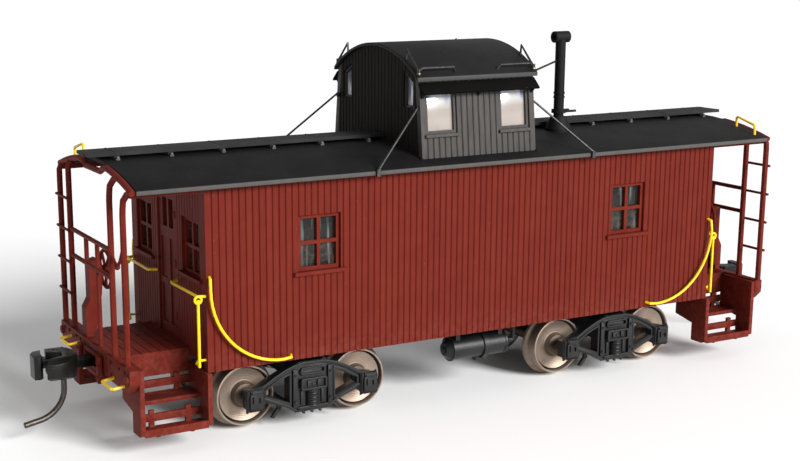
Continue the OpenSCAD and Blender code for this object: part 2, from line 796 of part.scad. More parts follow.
module one_step() {
    inner = step_in_x + step_plate_t;
    outer = step_out_x - step_plate_t;
    // side plates, each with its distance from the car's middle and its top
    for (side = [[step_out_x, floor_z - 0.2], [step_in_x + step_plate_t, side_base - 0.02]])
        translate([-side[0], 0, 0]) rotate([90, 0, 90]) linear_extrude(step_plate_t) polygon([
            [-step_out_y, step_base + 0.4], [-step_out_y + 0.8, step_base], [-step_mid_y, step_base],
            [-step_mid_y, step_base + step_rise - 0.6], [-step_back_y, step_base + step_rise + 0.2],
            [-step_back_y, side[1]], [-step_out_y, side[1]]
        ]);
    span = outer - inner;
    // treads, each with a lip, a slotted back board and two struts
    for (s = [[-step_out_y, -step_mid_y, step_base, 1.1],
              [-step_mid_y, -step_back_y, step_base + step_rise, 0.6]]) {
        translate([-outer - e, s[0], s[2]]) cube([span + 2 * e, s[1] - s[0], tread_t]);
        translate([-outer - e, s[0], s[2]]) cube([span + 2 * e, tread_t, s[3]]);
        translate([-outer - e, s[1] - tread_t, s[2] + 1.3]) cube([span + 2 * e, tread_t, 1.1]);
        for (x = [inner + 1.6, outer - 2.4])
            translate([-x - 0.8, s[1] - tread_t, s[2]]) cube([0.8, tread_t, 3]);
    }
    for (x = [inner + 2.2, outer - 2.2])
        translate([-x, -step_out_y + 1, step_base - 0.35]) cylinder(r = 0.4, h = 0.5, $fn = 16);
}
module steps() {
    color(oxide_red) near_and_far() one_step();
}

module draft_box() {
    color(oxide_red)
    difference() {
        translate([-box_out_x, -box_w / 2, coupler_z - box_h / 2])
            cube([box_out_x - box_in_x, box_w, box_h]);
        translate([-box_out_x - 1, -box_w / 2 + box_wall, coupler_z - box_h / 2 + box_wall])
            cube([box_out_x - box_in_x + 0.3, box_w - 2 * box_wall, box_h - 2 * box_wall]);
    }
    // pin that the coupler swings on
    color(oxide_red)
    translate([-pivot_x, 0, coupler_z - box_h / 2 + box_wall - e])
        cylinder(r = pivot_r - coupler_gap / 2, h = box_h - 2 * box_wall + 2 * e);
}

function end_pipe_z(y) = ceiling_z(abs(y)) + 0.25;
module railing() {
    x = -post_x;
    px = -end_pipe_x;
    eave_y = roof_w / 2 - 0.35;
    half = [
        for (i = [0 : 5]) let (y = eave_y - i * (eave_y - 6) / 5) [px, y, end_pipe_z(y)]
    ];
    dip = [[px, 4.4, crown_z - roof_t - end_pipe_drop * 0.4], [px, 3.2, crown_z - roof_t - end_pipe_drop]];
    far_side = concat(half, dip);
    near_side = [for (i = [len(far_side) - 1 : -1 : 0]) [px, -far_side[i][1], far_side[i][2]]];
    color(oxide_red) {
        wire(concat(far_side, near_side), post_d, [1, 0, 0]);
        // gate posts, bent outwards to the roof pipe
        for (y = gate_y) {
            out = y - 2.6;
            z_in = end_pipe_z(out);
            wire([[x, y, floor_z], [x, y, z_in - 3.6], [x, y - 0.15, z_in - 2.6],
                  [x - 0.05, y - 0.6, z_in - 1.5], [(x + px) / 2, y - 1.5, z_in - 0.5], [px, out, z_in]],
                 post_d, [1, 0, 0]);
        }
        // two rails between the ladder and the gate
        for (z = rail_z)
            rod([x, gate_y[0], z], [x, ladder_y[1] - post_d / 2 - 0.01, z], rail_d);
        rod([x, 3.6, rail_z[0]], [x, 3.6, rail_z[1]], rail_d);
        rod([x, -1.6, floor_z], [x, -1.6, rail_z[1]], rail_d);
        // safety chain across the gate, with its hook at the lowest point
        chain_z = rail_z[1] + 0.4;
        wire([[x, gate_y[0], chain_z], [x, gate_y[0] - 0.5, chain_z - 1.1],
              [x, gate_y[0] - 1.4, chain_z - 1.8], [x, gate_y[0] - 2.5, chain_z - 2.2],
              [x, gate_y[0] - 3.7, chain_z - 1.3],
              [x, gate_y[0] - 4.7, chain_z + 0.2], [x, gate_y[1], chain_z + 1.6]], 0.5, [1, 0, 0]);
        translate([x, gate_y[0] - 2.4, chain_z - 2.3]) sphere(r = 0.45, $fn = 16);
        // fascia strips under the overhanging roof
        near_and_far() translate([-end_pipe_x, -half_w - 0.3, ceiling_z(half_w + 0.3) - 0.85])
            cube([end_pipe_x - half_l - 0.01, 0.6, 0.8]);
    }
}

module ladder() {
    x = -post_x;
    px = -end_pipe_x;
    color(oxide_red) {
        for (y = ladder_y)
            let (z = end_pipe_z(y - 0.3) - post_d / 2)
            wire([[x, y, floor_z], [x, y, z - 1.6], [x, y - 0.05, z - 0.7],
                  [(x + px) / 2, y - 0.15, z - 0.1], [px, y - 0.3, z + 0.1]], post_d, [1, 0, 0]);
        for (i = [0 : 3])
            let (rung_x = x - post_d / 2, z = rung_z + rung_pitch * i)
            rod([rung_x, ladder_y[1] - 0.6, z], [rung_x, ladder_y[0] + 0.6, z], 0.45);
    }
}

module brake_stand() {
    x = -sill_in_x + 0.6;
    y = 5;
    hub_z = 23.9;
    wheel_x = x + 2;
    r = brake_wheel_d / 2;
    base_z = floor_z + platform_t + e;
    foot_x = -sill_out_x + 0.4;
    step_z = base_z + 3.6;
    neck_z = base_z + 5;
    color(oxide_red) {
        // leg and gear housing, standing on the platform and the end sill
        translate([0, y + 1.1, 0]) rotate([90, 0, 0]) linear_extrude(2.2)
            polygon([
                [foot_x, base_z], [x, base_z], [x + 0.1, base_z + 2.7], [x + 0.9, base_z + 5.6],
                [x + 1.1, hub_z - 1], [x + 1.1, hub_z + 1.3], [x + 0.4, hub_z + 1.9],
                [x - 0.95, hub_z + 1.5], [x - 0.95, neck_z], [foot_x, step_z]
            ]);
        translate([foot_x, y - 1, floor_z + e]) cube([-sill_in_x - 0.01 - foot_x, 2, platform_t + e]);
        translate([x, y, hub_z]) rotate([0, 90, 0]) cylinder(d = 1, h = wheel_x - x + 0.4);
        translate([wheel_x, y, hub_z]) rotate([0, 90, 0]) {
            rotate_extrude() translate([r - 0.3, 0]) circle(d = 0.6, $fn = 16);
            for (a = [0 : 72 : 288]) rotate([0, 90, a]) cylinder(d = 0.45, h = r - 0.3, $fn = 16);
            cylinder(d = 1.5, h = 0.7, center = true);
        }
    }
}

// ---- yellow grab irons ----

// Long curved iron low on each side, next to the corner
module side_grab_irons() {
    off = 0.85;
    y = -half_w - off;
    c = [-half_l + 11.7, 24];
    bend = [11.4, 11.65];
    foot = c[1] - bend[1];
    color(rail_yellow) all_corners()
        wire(concat([[-half_l + 0.5, -half_w + 0.1, c[1] + 1.8], [-half_l + 0.35, y + 0.2, c[1] + 1.6]],
                    [for (i = [0 : 15]) let (a = 180 + 6 * i)
                        [c[0] + bend[0] * cos(a), y, c[1] + bend[1] * sin(a)]],
                    [[c[0] + 1.3, y + 0.15, foot + 0.1], [c[0] + 1.6, -half_w + 0.1, foot + 0.2]]),
             wire_d, [0, 1, 0]);
}

// Vertical rail at each corner, with a rail across the end wall that meets it at an eye
module corner_handrails() {
    x = -half_l - 1.2;
    wall_x = -half_l - e;
    y = -half_w + 0.3;
    top = 22.6;
    bottom = 12.6;
    reach = 10;
    loop_d = 0.36;
    color(rail_yellow)
    all_corners() {
        rod([x, y, bottom], [x, y, top], wire_d);
        // loop of wire at the foot, back to the wall
        wire([[x, y, bottom + 0.2], [x - 0.1, y + 1, bottom + 0.3], [x + 0.1, y + 0.5, bottom + 1.1],
              [x + 0.5, y + 0.3, bottom + 0.9], [wall_x, y + 0.3, bottom + 0.9]], loop_d, [0, 0, 1]);
        // rail under the end window, hooked into the wall beside the door
        wire([[wall_x, y + reach + 0.9, top + 0.5], [x, y + reach + 0.3, top + 0.5],
              [x, y + reach, top + 0.4], [x, y + 0.2, top + 0.45], [wall_x, y - 0.1, top + 0.45]],
             wire_d, [0, 0, 1]);
        translate([x, y, top]) rotate([90, 0, 0])
            rotate_extrude($fn = 24) translate([0.5, 0]) circle(d = 0.4, $fn = 16);
    }
}

// Small hoops on the face of each end sill
module sill_grab_irons() {
    color(rail_yellow) for (turn = [0, 180]) rotate([0, 0, turn])
        for (iron = [[-14, -9.5, 11.1], [6.4, 10.6, 12.5]]) {
            x = -sill_out_x;
            y = [iron[0], iron[1]];
            z = iron[2];
            wire([[x, y[0], z], [x - 1.6, y[0], z - 0.2], [x - 1.9, y[0] + 0.3, z - 0.2],
                  [x - 1.9, y[1] - 0.3, z - 0.2], [x - 1.6, y[1], z - 0.2], [x, y[1], z]], wire_d, [0, 0, 1]);
        }
}

// ---- trucks ----

// Cast side frame in the XZ plane, centred on the truck, with its bearings
module sideframe() {
    half = wheelbase / 2;
    spring_z = frame_bottom + 0.9;
    translate([0, -frame_out, 0]) rotate([90, 0, 0]) mirror([0, 0, 1]) linear_extrude(frame_t)
        difference() {
            polygon([
                [-half - 1.2, axle_z + 1.6], [-half + 1, axle_z + 2.1],
                [-3.4, frame_top - 0.5], [-2, frame_top], [2, frame_top], [3.4, frame_top - 0.5],
                [half - 1, axle_z + 2.1], [half + 1.2, axle_z + 1.6],
                [half + 1.2, axle_z - 1.2], [half - 1.2, axle_z - 1.2], [half - 1.3, axle_z - 0.3],
                [4.2, frame_bottom + 0.9], [3, frame_bottom], [-3, frame_bottom], [-4.2, frame_bottom + 0.9],
                [-half + 1.3, axle_z - 0.3], [-half + 1.2, axle_z - 1.2], [-half - 1.2, axle_z - 1.2]
            ]);
            for (s = [-1, 1]) {
                polygon([
                    [s * 3.9, frame_bottom + 1.7], [s * 3.9, frame_top - 1.8],
                    [s * (half - 1.9), axle_z + 1.3], [s * (half - 2), axle_z + 0.5]
                ]);
            }
        }
    // journal boxes
    for (s = [-1, 1]) {
        translate([s * half - journal_w / 2, -journal_out, axle_z - journal_h / 2 + 0.25])
            cube([journal_w, journal_out - frame_out + e, journal_h]);
        translate([s * half - journal_w / 2 + 0.4, -journal_out - 0.25, axle_z + 0.35])
            cube([journal_w - 0.8, 0.3, journal_h / 2]);
    }
    // spring plank, spring and bolster end
    translate([-2.6, -frame_out - 0.5, frame_bottom + 0.3]) cube([5.2, 0.6, 0.6]);
    for (z = [0 : 5])
        translate([0, -frame_out - 0.1, spring_z + z * 0.45]) cylinder(d = 1.9, h = 0.3, $fn = 24);
    translate([-2.1, -frame_out - 0.6, frame_bottom + 3.6]) cube([4.2, 0.7, 1.6]);
    for (x = [-3.3, 2.7])
        translate([x, -frame_out - 0.35, frame_bottom + 0.4])
            cube([0.6, 0.4, frame_top - frame_bottom - 1.4]);
}
module truck_sideframes() {
    color(truck_black) near_and_far() difference() {
        sideframe();
        for (s = [-1, 1])
            translate([s * wheelbase / 2, -frame_in + e, axle_z]) rotate([90, 0, 0])
                cylinder(r = stub_r + bearing_gap, h = axle_tip - frame_in + 0.1);
    }
}
module truck_bolster() {
    color(truck_black) {
        difference() {
            union() {
                translate([-2, -frame_in + e, bolster_z[0]])
                    cube([4, 2 * (frame_in - e), bolster_z[1] - bolster_z[0] - 0.8]);
                translate([0, 0, bolster_z[0]]) cylinder(r = 2.9, h = bolster_z[1] - bolster_z[0]);
            }
            translate([0, 0, bolster_z[0] - 1]) cylinder(r = screw_r + 0.08, h = 6);
        }
        // brake beams, each hung from the bolster by a block
        for (s = [-1, 1]) {
            beam_x = wheelbase / 2 - tread_d / 2 - flange_h - 0.6;
            translate([s * beam_x - 0.35, -wheel_out - 1, 3.4]) cube([0.7, 2 * wheel_out + 2, 0.7]);
            translate([s * (beam_x - 0.65) - 0.9, -0.4, 3.4]) cube([1.8, 0.8, bolster_z[0] - 3.4 + e]);
        }
    }
}

// Profile of one wheel: distance from the axis against distance from its back face
module wheel() {
    r = tread_d / 2;
    rotate([-90, 0, 0])
        rotate_extrude($fn = 96) polygon([
            [axle_d / 2, -0.2], [1.9, -0.2], [2, 0.5], [r - 1.1, 0.7], [r - 0.9, 0],
            [r + flange_h - 0.2, 0], [r + flange_h, 0.25], [r + flange_h - 0.15, 0.6],
            [r + 0.1, 0.85], [r + 0.02, 1.1], [r - 0.1, wheel_w],
            [r - 0.85, wheel_w], [r - 0.95, wheel_w - 0.9], [2.1, wheel_w - 0.9],
            [1.8, wheel_w - 0.1], [axle_d / 2, wheel_w - 0.1]
        ]);
}
module wheels(x) {
    color(wheel_metal) translate([x, 0, axle_z])
        near_and_far() mirror([0, 1, 0]) translate([0, back_to_back / 2, 0]) wheel();
}
module axle(x) {
    stub = wheel_out - 0.1;
    color(wheel_metal) translate([x, 0, axle_z]) rotate([90, 0, 0]) {
        cylinder(d = axle_d, h = 2 * stub, center = true);
        for (s = [0, 1]) mirror([0, 0, s]) translate([0, 0, stub - e]) {
            cylinder(r = stub_r, h = axle_tip - stub - 0.5 + e);
            translate([0, 0, axle_tip - stub - 0.5]) cylinder(r1 = stub_r, r2 = 0.3, h = 0.5);
        }
    }
}
axle_x = [for (s = [-1, 1], k = [-1, 1]) s * truck_x + k * wheelbase / 2];

// ---- couplers (modelled at the front, -X, knuckle on the far side) ----

module coupler() {
    hx = -head_x;
    color(truck_black) {
        difference() {
            union() {
                // shank with its pivot eye
                translate([hx - 1.4, -shank_w / 2, coupler_z - shank_h / 2])
                    cube([head_x + 1.4 - pivot_x, shank_w, shank_h]);
                translate([-pivot_x, 0, coupler_z - shank_h / 2])
                    cylinder(r = shank_w / 2 + 0.5, h = shank_h);
                // head with its guard arm on the near side, its long edges cut back
                intersection() {
                    translate([0, 0, coupler_z - head_h / 2]) linear_extrude(head_h) polygon([
                        [hx - 1.2, -1.1], [hx - 1.9, -2.6], [hx - 3.2, -3.4], [hx - 5, -3.6],
                        [hx - 6.4, -3.3], [hx - 5.6, -2.3], [hx - 3.6, -1.6], [hx - 3.2, -0.3],
                        [hx - 3.2, 0.9], [hx - 2.6, 2.9], [hx - 1.7, 2.5], [hx - 1.2, 1.1]
                    ]);
                    translate([hx - 8, 0, coupler_z]) rotate([90, 0, 90]) linear_extrude(9)
                        polygon([
                            [-3.7, -0.9], [-2.4, -head_h / 2], [3.3, -head_h / 2],
                            [3.3, head_h / 2], [-2.4, head_h / 2], [-3.7, 0.9]
                        ]);
                }
                for (s = [-1, 1]) translate([0, 0, coupler_z + s * jaw_z - jaw_t / 2])
                    linear_extrude(jaw_t) polygon([
                        [hx - 2, 0], [hx - 2, 3.1], [hx - 4.9, 3.2], [hx - 5.2, 1.4], [hx - 3.2, 0.4]
                    ]);
            }
            translate([-pivot_x, 0, coupler_z - 3]) cylinder(r = pivot_r, h = 6);
            translate([-knuckle_pin[0], -knuckle_pin[1], coupler_z - 3])
                cylinder(r = knuckle_pin_r + 0.05, h = 6);
        }
        // trip pin, curling out and down below the head
        wire(concat([[hx - 3.2, -0.6, coupler_z - head_h / 2 + 0.6], [hx - 3.2, -0.6, coupler_z - 3.6]],
                    [for (i = [1 : 6]) let (a = 15 * i - 3)
                        let (out = 1 - cos(a))
                        [hx - 3.2 - 4.7 * out, -0.6 - 0.5 * out, coupler_z - 3.6 - 4.4 * sin(a)]],
                    [[hx - 9.6, -1.2, coupler_z - 8.3]]),
             2 * trip_pin_r, [0, 1, 0]);
    }
}
module knuckle() {
    hx = -head_x;
    h = 2 * (jaw_z - jaw_t / 2 - coupler_gap);
    color(truck_black) {
        // tail between the jaws, then the nose
        translate([-knuckle_pin[0], -knuckle_pin[1], coupler_z - h / 2]) linear_extrude(h)
            polygon([[0.9, -0.9], [0.9, 0.9], [-1.9, 1], [-1.7, -1]]);
        translate([0, 0, coupler_z - head_h / 2]) linear_extrude(head_h) polygon([
            [hx - 5.6, 2.9], [hx - 6.9, 2.6], [-knuckle_x, 1.4], [-knuckle_x, -1],
            [hx - 6.7, -1.2], [hx - 6.2, -0.6], [hx - 6.1, 0.9]
        ]);
        translate([-knuckle_pin[0], -knuckle_pin[1], coupler_z - head_h / 2])
            cylinder(r = knuckle_pin_r, h = head_h);
    }
}

// ---- assembly ----

side_wall();  // side_wall_near
rear() side_wall();  // side_wall_far
end_wall();  // end_wall_front
rear() end_wall();  // end_wall_rear
end_door();  // end_door_front
rear() end_door();  // end_door_rear
side_sashes();
end_sashes();
body_glass();
roof();
running_board();  // running_board_front
rear() running_board();  // running_board_rear
cupola_sides();
cupola_ends();
cupola_roof();
cupola_visors();
cupola_sashes();
cupola_glass();
cupola_handrails();
smokejack();
guy_wires();
underframe();
truck_screws();
steel_weight();
air_reservoir();
brake_cylinder();
platform();  // platform_front
rear() platform();  // platform_rear
end_sill();  // end_sill_front
rear() end_sill();  // end_sill_rear
steps();  // steps_front
rear() steps();  // steps_rear
draft_box();  // draft_box_front
rear() draft_box();  // draft_box_rear
railing();  // railing_front
rear() railing();  // railing_rear
ladder();  // ladder_front
rear() ladder();  // ladder_rear
brake_stand();  // brake_stand_front
rear() brake_stand();  // brake_stand_rear
side_grab_irons();
corner_handrails();
sill_grab_irons();
roof_grab_irons();
translate([-truck_x, 0, 0]) truck_sideframes();  // truck_sideframes_front
translate([-truck_x, 0, 0]) truck_bolster();  // truck_bolster_front
translate([truck_x, 0, 0]) truck_sideframes();  // truck_sideframes_rear
translate([truck_x, 0, 0]) truck_bolster();  // truck_bolster_rear
wheels(axle_x[0]);  // wheels_1
wheels(axle_x[1]);  // wheels_2
wheels(axle_x[2]);  // wheels_3
wheels(axle_x[3]);  // wheels_4
axle(axle_x[0]);  // axle_1
axle(axle_x[1]);  // axle_2
axle(axle_x[2]);  // axle_3
axle(axle_x[3]);  // axle_4
coupler();  // coupler_front
rear() coupler();  // coupler_rear
knuckle();  // knuckle_front
rear() knuckle();  // knuckle_rear
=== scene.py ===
import json
import math

import bmesh
import bpy
from mathutils import Matrix, Vector

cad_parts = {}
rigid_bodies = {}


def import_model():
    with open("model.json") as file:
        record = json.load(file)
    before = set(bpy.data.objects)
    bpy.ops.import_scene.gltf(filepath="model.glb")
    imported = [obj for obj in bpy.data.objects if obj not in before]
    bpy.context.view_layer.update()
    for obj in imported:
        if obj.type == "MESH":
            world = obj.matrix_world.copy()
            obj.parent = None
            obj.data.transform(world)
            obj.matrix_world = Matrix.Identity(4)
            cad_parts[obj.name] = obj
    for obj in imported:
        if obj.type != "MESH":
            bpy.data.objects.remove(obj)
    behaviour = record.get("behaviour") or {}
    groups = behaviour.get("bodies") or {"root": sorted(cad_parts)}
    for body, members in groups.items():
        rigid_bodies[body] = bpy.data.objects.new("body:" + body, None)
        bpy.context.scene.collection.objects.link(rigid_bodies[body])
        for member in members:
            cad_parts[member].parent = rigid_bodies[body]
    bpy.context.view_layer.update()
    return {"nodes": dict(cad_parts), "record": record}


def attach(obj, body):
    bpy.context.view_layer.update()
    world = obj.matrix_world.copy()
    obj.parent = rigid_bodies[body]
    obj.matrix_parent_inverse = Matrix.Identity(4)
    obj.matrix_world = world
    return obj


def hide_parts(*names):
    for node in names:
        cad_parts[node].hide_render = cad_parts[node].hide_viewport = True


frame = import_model()
nodes = frame["nodes"]
mm = 0.001
print("frame loaded,", len(nodes), "nodes")

class Value:
    # a number socket that takes part in ordinary sums
    def __init__(self, finish, socket):
        self.finish, self.socket = finish, socket

    def maths(self, operation, other=None, swapped=False):
        terms = [other, self] if swapped else [self, other]
        inputs = {i: t for i, t in enumerate(terms) if t is not None}
        return self.finish.value("ShaderNodeMath", {"operation": operation}, inputs)

    def __add__(self, other):
        return self.maths("ADD", other)

    def __sub__(self, other):
        return self.maths("SUBTRACT", other)

    def __mul__(self, other):
        return self.maths("MULTIPLY", other)

    def __truediv__(self, other):
        return self.maths("DIVIDE", other)

    def __radd__(self, other):
        return self.maths("ADD", other, swapped=True)

    def __rsub__(self, other):
        return self.maths("SUBTRACT", other, swapped=True)

    def __lt__(self, other):
        return self.maths("LESS_THAN", other)

    def __abs__(self):
        return self.maths("ABSOLUTE")

    def steps(self, low, high):
        # 0 below low, 1 above high, straight between
        return self.finish.value("ShaderNodeMapRange", {}, {0: self, 1: low, 2: high, 3: 0.0, 4: 1.0})

class Finish:
    def __init__(self, name, roughness=0.5, metallic=0.0, specular=0.5, coat=0.0):
        self.material = bpy.data.materials.new(name)
        self.material.use_nodes = True
        self.tree = self.material.node_tree
        self.tree.nodes.clear()
        self.shader = self.node("ShaderNodeBsdfPrincipled", {}, {
            "Roughness": roughness, "Metallic": metallic,
            "Specular IOR Level": specular, "Coat Weight": coat, "Coat Roughness": 0.25})
        self.node("ShaderNodeOutputMaterial", {}, {"Surface": self.shader.outputs[0]})
        where = self.node("ShaderNodeTexCoord")
        self.place = self.node("ShaderNodeVectorMath", {"operation": "SCALE"},
                               {0: where.outputs["Object"], "Scale": 1 / mm}).outputs[0]
        split = self.node("ShaderNodeSeparateXYZ", {}, {0: self.place})
        self.x, self.y, self.z = [Value(self, out) for out in split.outputs]

    def node(self, kind, settings=None, inputs=None):
        made = self.tree.nodes.new(kind)
        for key, setting in (settings or {}).items():
            setattr(made, key, setting)
        for key, given in (inputs or {}).items():
            if isinstance(given, Value):
                given = given.socket
            if isinstance(given, bpy.types.NodeSocket):
                self.tree.links.new(given, made.inputs[key])
            else:
                made.inputs[key].default_value = given
        return made

    def value(self, kind, settings=None, inputs=None):
        return Value(self, self.node(kind, settings, inputs).outputs[0])

    def stretched(self, sx, sy, sz):
        return self.node("ShaderNodeMapping", {}, {"Vector": self.place, "Scale": (sx, sy, sz)}).outputs[0]

    def noise(self, scale, detail=3.0, along=None):
        return self.value("ShaderNodeTexNoise", {}, {
            "Vector": along or self.place, "Scale": scale, "Detail": detail, "Roughness": 0.55})

    def specks(self, scale, size, share):
        # small round specks in a share of the cells
        cells = self.node("ShaderNodeTexVoronoi", {}, {"Vector": self.place, "Scale": scale})
        near = Value(self, cells.outputs["Distance"]) < size
        pick = self.node("ShaderNodeSeparateColor", {}, {0: cells.outputs["Color"]})
        return near * (Value(self, pick.outputs[0]) < share)

    def mix(self, factor, low, high):
        low, high = [(*c, 1.0) if isinstance(c, tuple) else c for c in (low, high)]
        made = self.node("ShaderNodeMix", {"data_type": "RGBA"}, {0: factor, 6: low, 7: high})
        return made.outputs[2]

    def bump(self, height, distance):
        inputs = {"Height": height, "Distance": distance * mm, "Strength": 1.0}
        return self.node("ShaderNodeBump", {}, inputs).outputs[0]

    def feed(self, **sockets):
        for name, given in sockets.items():
            if isinstance(given, Value):
                given = given.socket
            self.tree.links.new(given, self.shader.inputs[name.replace("_", " ")])

# flat paint over moulded plastic: soft mottling, a fine tooth, a few dust specks, more dust low on the red;
# linear colours, noise scales per millimetre, lengths in millimetres
oxidePaint = {"lit": (0.132, 0.0165, 0.0095), "deep": (0.102, 0.0110, 0.0062), "dust": (0.24, 0.10, 0.08),
              "mottle": 0.35, "tooth": 9.0, "toothDepth": 0.012, "boardPitch": 1.0539, "dusty": (11.6, 16.0)}
# the black's lip colour is a painted highlight for the roof's outer edge
blackPaint = {"lit": (0.0090, 0.0090, 0.0094), "deep": (0.0045, 0.0045, 0.0045), "lip": (0.072, 0.068, 0.064),
              "dust": (0.06, 0.06, 0.06), "mottle": 0.22, "tooth": 7.0, "toothDepth": 0.02}

def redFinish(name, boards=False):
    f = Finish(name, roughness=0.52, specular=0.07)
    p = oxidePaint
    worn = f.noise(p["mottle"], 4.0).steps(0.35, 0.68)
    if boards:
        # each board takes the paint a little differently, with streaks along it
        board = ((f.x + f.y) / p["boardPitch"]).maths("FLOOR")
        each = f.value("ShaderNodeTexWhiteNoise", {"noise_dimensions": "1D"}, {"W": board})
        streak = f.noise(1.0, 3.0, along=f.stretched(2.2, 2.2, 0.12))
        worn = worn * 0.4 + each * 0.3 + streak.steps(0.35, 0.7) * 0.3
    colour = f.mix(worn, p["deep"], p["lit"])
    colour = f.mix(f.specks(1.6, 0.10, 0.10) * 0.6, colour, p["dust"])
    low = 1 - f.z.steps(*p["dusty"])
    colour = f.mix(low * f.noise(1.4, 4.0).steps(0.42, 0.7) * 0.16, colour, p["dust"])
    f.feed(Base_Color=colour, Roughness=0.46 + f.noise(2.6, 3.0) * 0.16,
           Normal=f.bump(f.noise(p["tooth"], 2.0), p["toothDepth"]))
    return f.material

def blackFinish(name, lit=None, deep=None, lip=None, roughness=0.62, specular=0.14, boards=False):
    # the edge highlight is (distance from the middle line, colour) of an edge that the light catches; the
    # band is painted pale there, a painted highlight
    f = Finish(name, roughness=roughness, specular=specular)
    p = blackPaint
    worn = f.noise(p["mottle"], 5.0).steps(0.3, 0.72)
    if boards:
        streak = f.noise(1.0, 3.0, along=f.stretched(2.4, 2.4, 0.15)).steps(0.35, 0.7)
        worn = worn * 0.35 + streak * 0.65
    colour = f.mix(worn, deep or p["deep"], lit or p["lit"])
    # painted highlight: a pale band painted along the outer edge
    if lip:
        edge = abs(f.y).steps(lip[0] - 0.04, lip[0] + 0.02)
        colour = f.mix(edge * (0.75 + f.noise(1.1, 4.0) * 0.4), colour, lip[1])
    colour = f.mix(f.specks(1.1, 0.09, 0.12) * 0.45, colour, p["dust"])
    f.feed(Base_Color=colour, Roughness=roughness - 0.06 + f.noise(1.8, 3.0) * 0.14,
           Normal=f.bump(f.noise(p["tooth"], 2.0), p["toothDepth"]))
    return f.material

def yellowFinish(name):
    f = Finish(name, roughness=0.38, specular=0.45)
    worn = f.noise(1.6, 4.0).steps(0.35, 0.7)
    colour = f.mix(worn, (0.80, 0.47, 0.0), (0.98, 0.66, 0.0))
    colour = f.mix(f.specks(2.4, 0.14, 0.12) * 0.5, colour, (0.30, 0.16, 0.02))
    f.feed(Base_Color=colour, Roughness=0.32 + f.noise(3.0) * 0.18, Normal=f.bump(f.noise(6.0, 2.0), 0.02))
    return f.material

# the trucks, from the car's middle and the z = 0 plane; then bands of radius on a wheel's face
truck = {"x": 29.05, "half": 9.65, "axleZ": 5.45, "out": 13.2, "proud": 0.38, "rib": 0.42,
         "journalOut": 13.95}
# radius bands: a painted shadow round the axle, the slot inside the rim that is painted as shade, the tread
wheelFace = {"hub": (1.7, 2.7), "grooveIn": (4.12, 4.20), "grooveOut": (4.38, 4.44), "tread": (4.74, 4.84),
             "ringRate": 23.0}

def wheelFinish(name):
    # bronze-nickel off the lathe: rings round each axle, part real marks, part painted sheen; painted shadow
    # round the axle; painted shade in the slot inside the rim; brown rub on the tread
    f = Finish(name, roughness=0.28, metallic=1.0)
    across = abs(abs(f.x) - truck["x"]) - truck["half"]
    up = f.z - truck["axleZ"]
    radius = (across * across + up * up).maths("SQRT")
    rings = (radius * wheelFace["ringRate"] + f.noise(0.5, 2.0) * 2.0).maths("SINE") * 0.5 + 0.5
    paintedGrooveShade = radius.steps(*wheelFace["grooveIn"]) * (1 - radius.steps(*wheelFace["grooveOut"]))
    hub = 1 - radius.steps(*wheelFace["hub"])
    tread = radius.steps(*wheelFace["tread"])
    colour = f.mix(f.noise(0.45, 4.0).steps(0.3, 0.75), (0.29, 0.215, 0.165), (0.46, 0.365, 0.29))
    # the rings are partly lathe marks and partly a painted concentric sheen: their lighter colour is painted
    # reflection
    colour = f.mix(rings * 0.3, colour, (0.56, 0.46, 0.38))
    # painted shadow: the middle round the axle is painted dark
    colour = f.mix(hub * 0.85, colour, (0.075, 0.055, 0.042))
    # painted sheen: the face is painted darker to the left and right of the axle and lighter above and below
    # it, as a lathe-worked face catches the light
    paintedTurnSheen = (across * across - up * up) / (radius * radius + 0.2)
    colour = f.mix((paintedTurnSheen * 0.5 + 0.5) * (1 - hub) * 0.45, colour, (0.20, 0.155, 0.125))
    colour = f.mix(tread * f.noise(1.3, 4.0).steps(0.2, 0.7) * 0.6, colour, (0.13, 0.10, 0.085))
    # painted shade: the slot inside the rim is painted nearly black
    colour = f.mix(paintedGrooveShade * 0.93, colour, (0.012, 0.010, 0.009))
    f.feed(Base_Color=colour, Roughness=0.46 + rings * 0.10 + hub * 0.1 + paintedGrooveShade * 0.4 + tread * 0.08,
           Metallic=1 - paintedGrooveShade * 0.6, Normal=f.bump(rings, 0.012))
    return f.material

def steelFinish(name, light, dark, roughness=0.35, scale=1.2):
    f = Finish(name, roughness=roughness, metallic=1.0)
    brushed = f.noise(scale * 4, 3.0, along=f.stretched(1.0, 1.0, 0.2))
    colour = f.mix(brushed.steps(0.3, 0.7), dark, light)
    colour = f.mix(f.noise(scale, 4.0).steps(0.55, 0.75) * 0.5, colour, tuple(v * 0.5 for v in dark))
    f.feed(Base_Color=colour, Roughness=roughness - 0.05 + f.noise(scale * 3) * 0.2,
           Normal=f.bump(brushed, 0.01))
    return f.material

# heights where the panes change, and the distance along the car where the cupola's end panes begin
paneMarks = {"dusty": (28.0, 29.5), "head": (47.2, 49.4), "endHead": (49.5, 50.2), "endX": (9.3, 9.6)}

def bodyPaneFinish(name):
    # nearly opaque pane painted dark, a painted shade for the dim inside, with pale upright streaks that are
    # a painted reflection
    f = Finish(name, roughness=0.06, specular=0.22, coat=0.12)
    # painted reflection: pale upright streaks on the pane
    streak = f.noise(1.0, 2.0, along=f.stretched(1.1, 1.1, 0.10)).steps(0.52, 0.72)
    colour = f.mix(streak * 0.6, (0.012, 0.011, 0.010), (0.20, 0.22, 0.22))
    low = 1 - f.z.steps(*paneMarks["dusty"])
    colour = f.mix(low * (1 - streak) * f.noise(0.9, 2.0).steps(0.45, 0.7) * 0.5, colour, (0.10, 0.075, 0.05))
    f.feed(Base_Color=colour, Alpha=0.98 + streak * 0.02, Roughness=0.05 + f.noise(0.8) * 0.08,
           Normal=f.bump(f.noise(0.45, 2.0), 0.10))
    return f.material

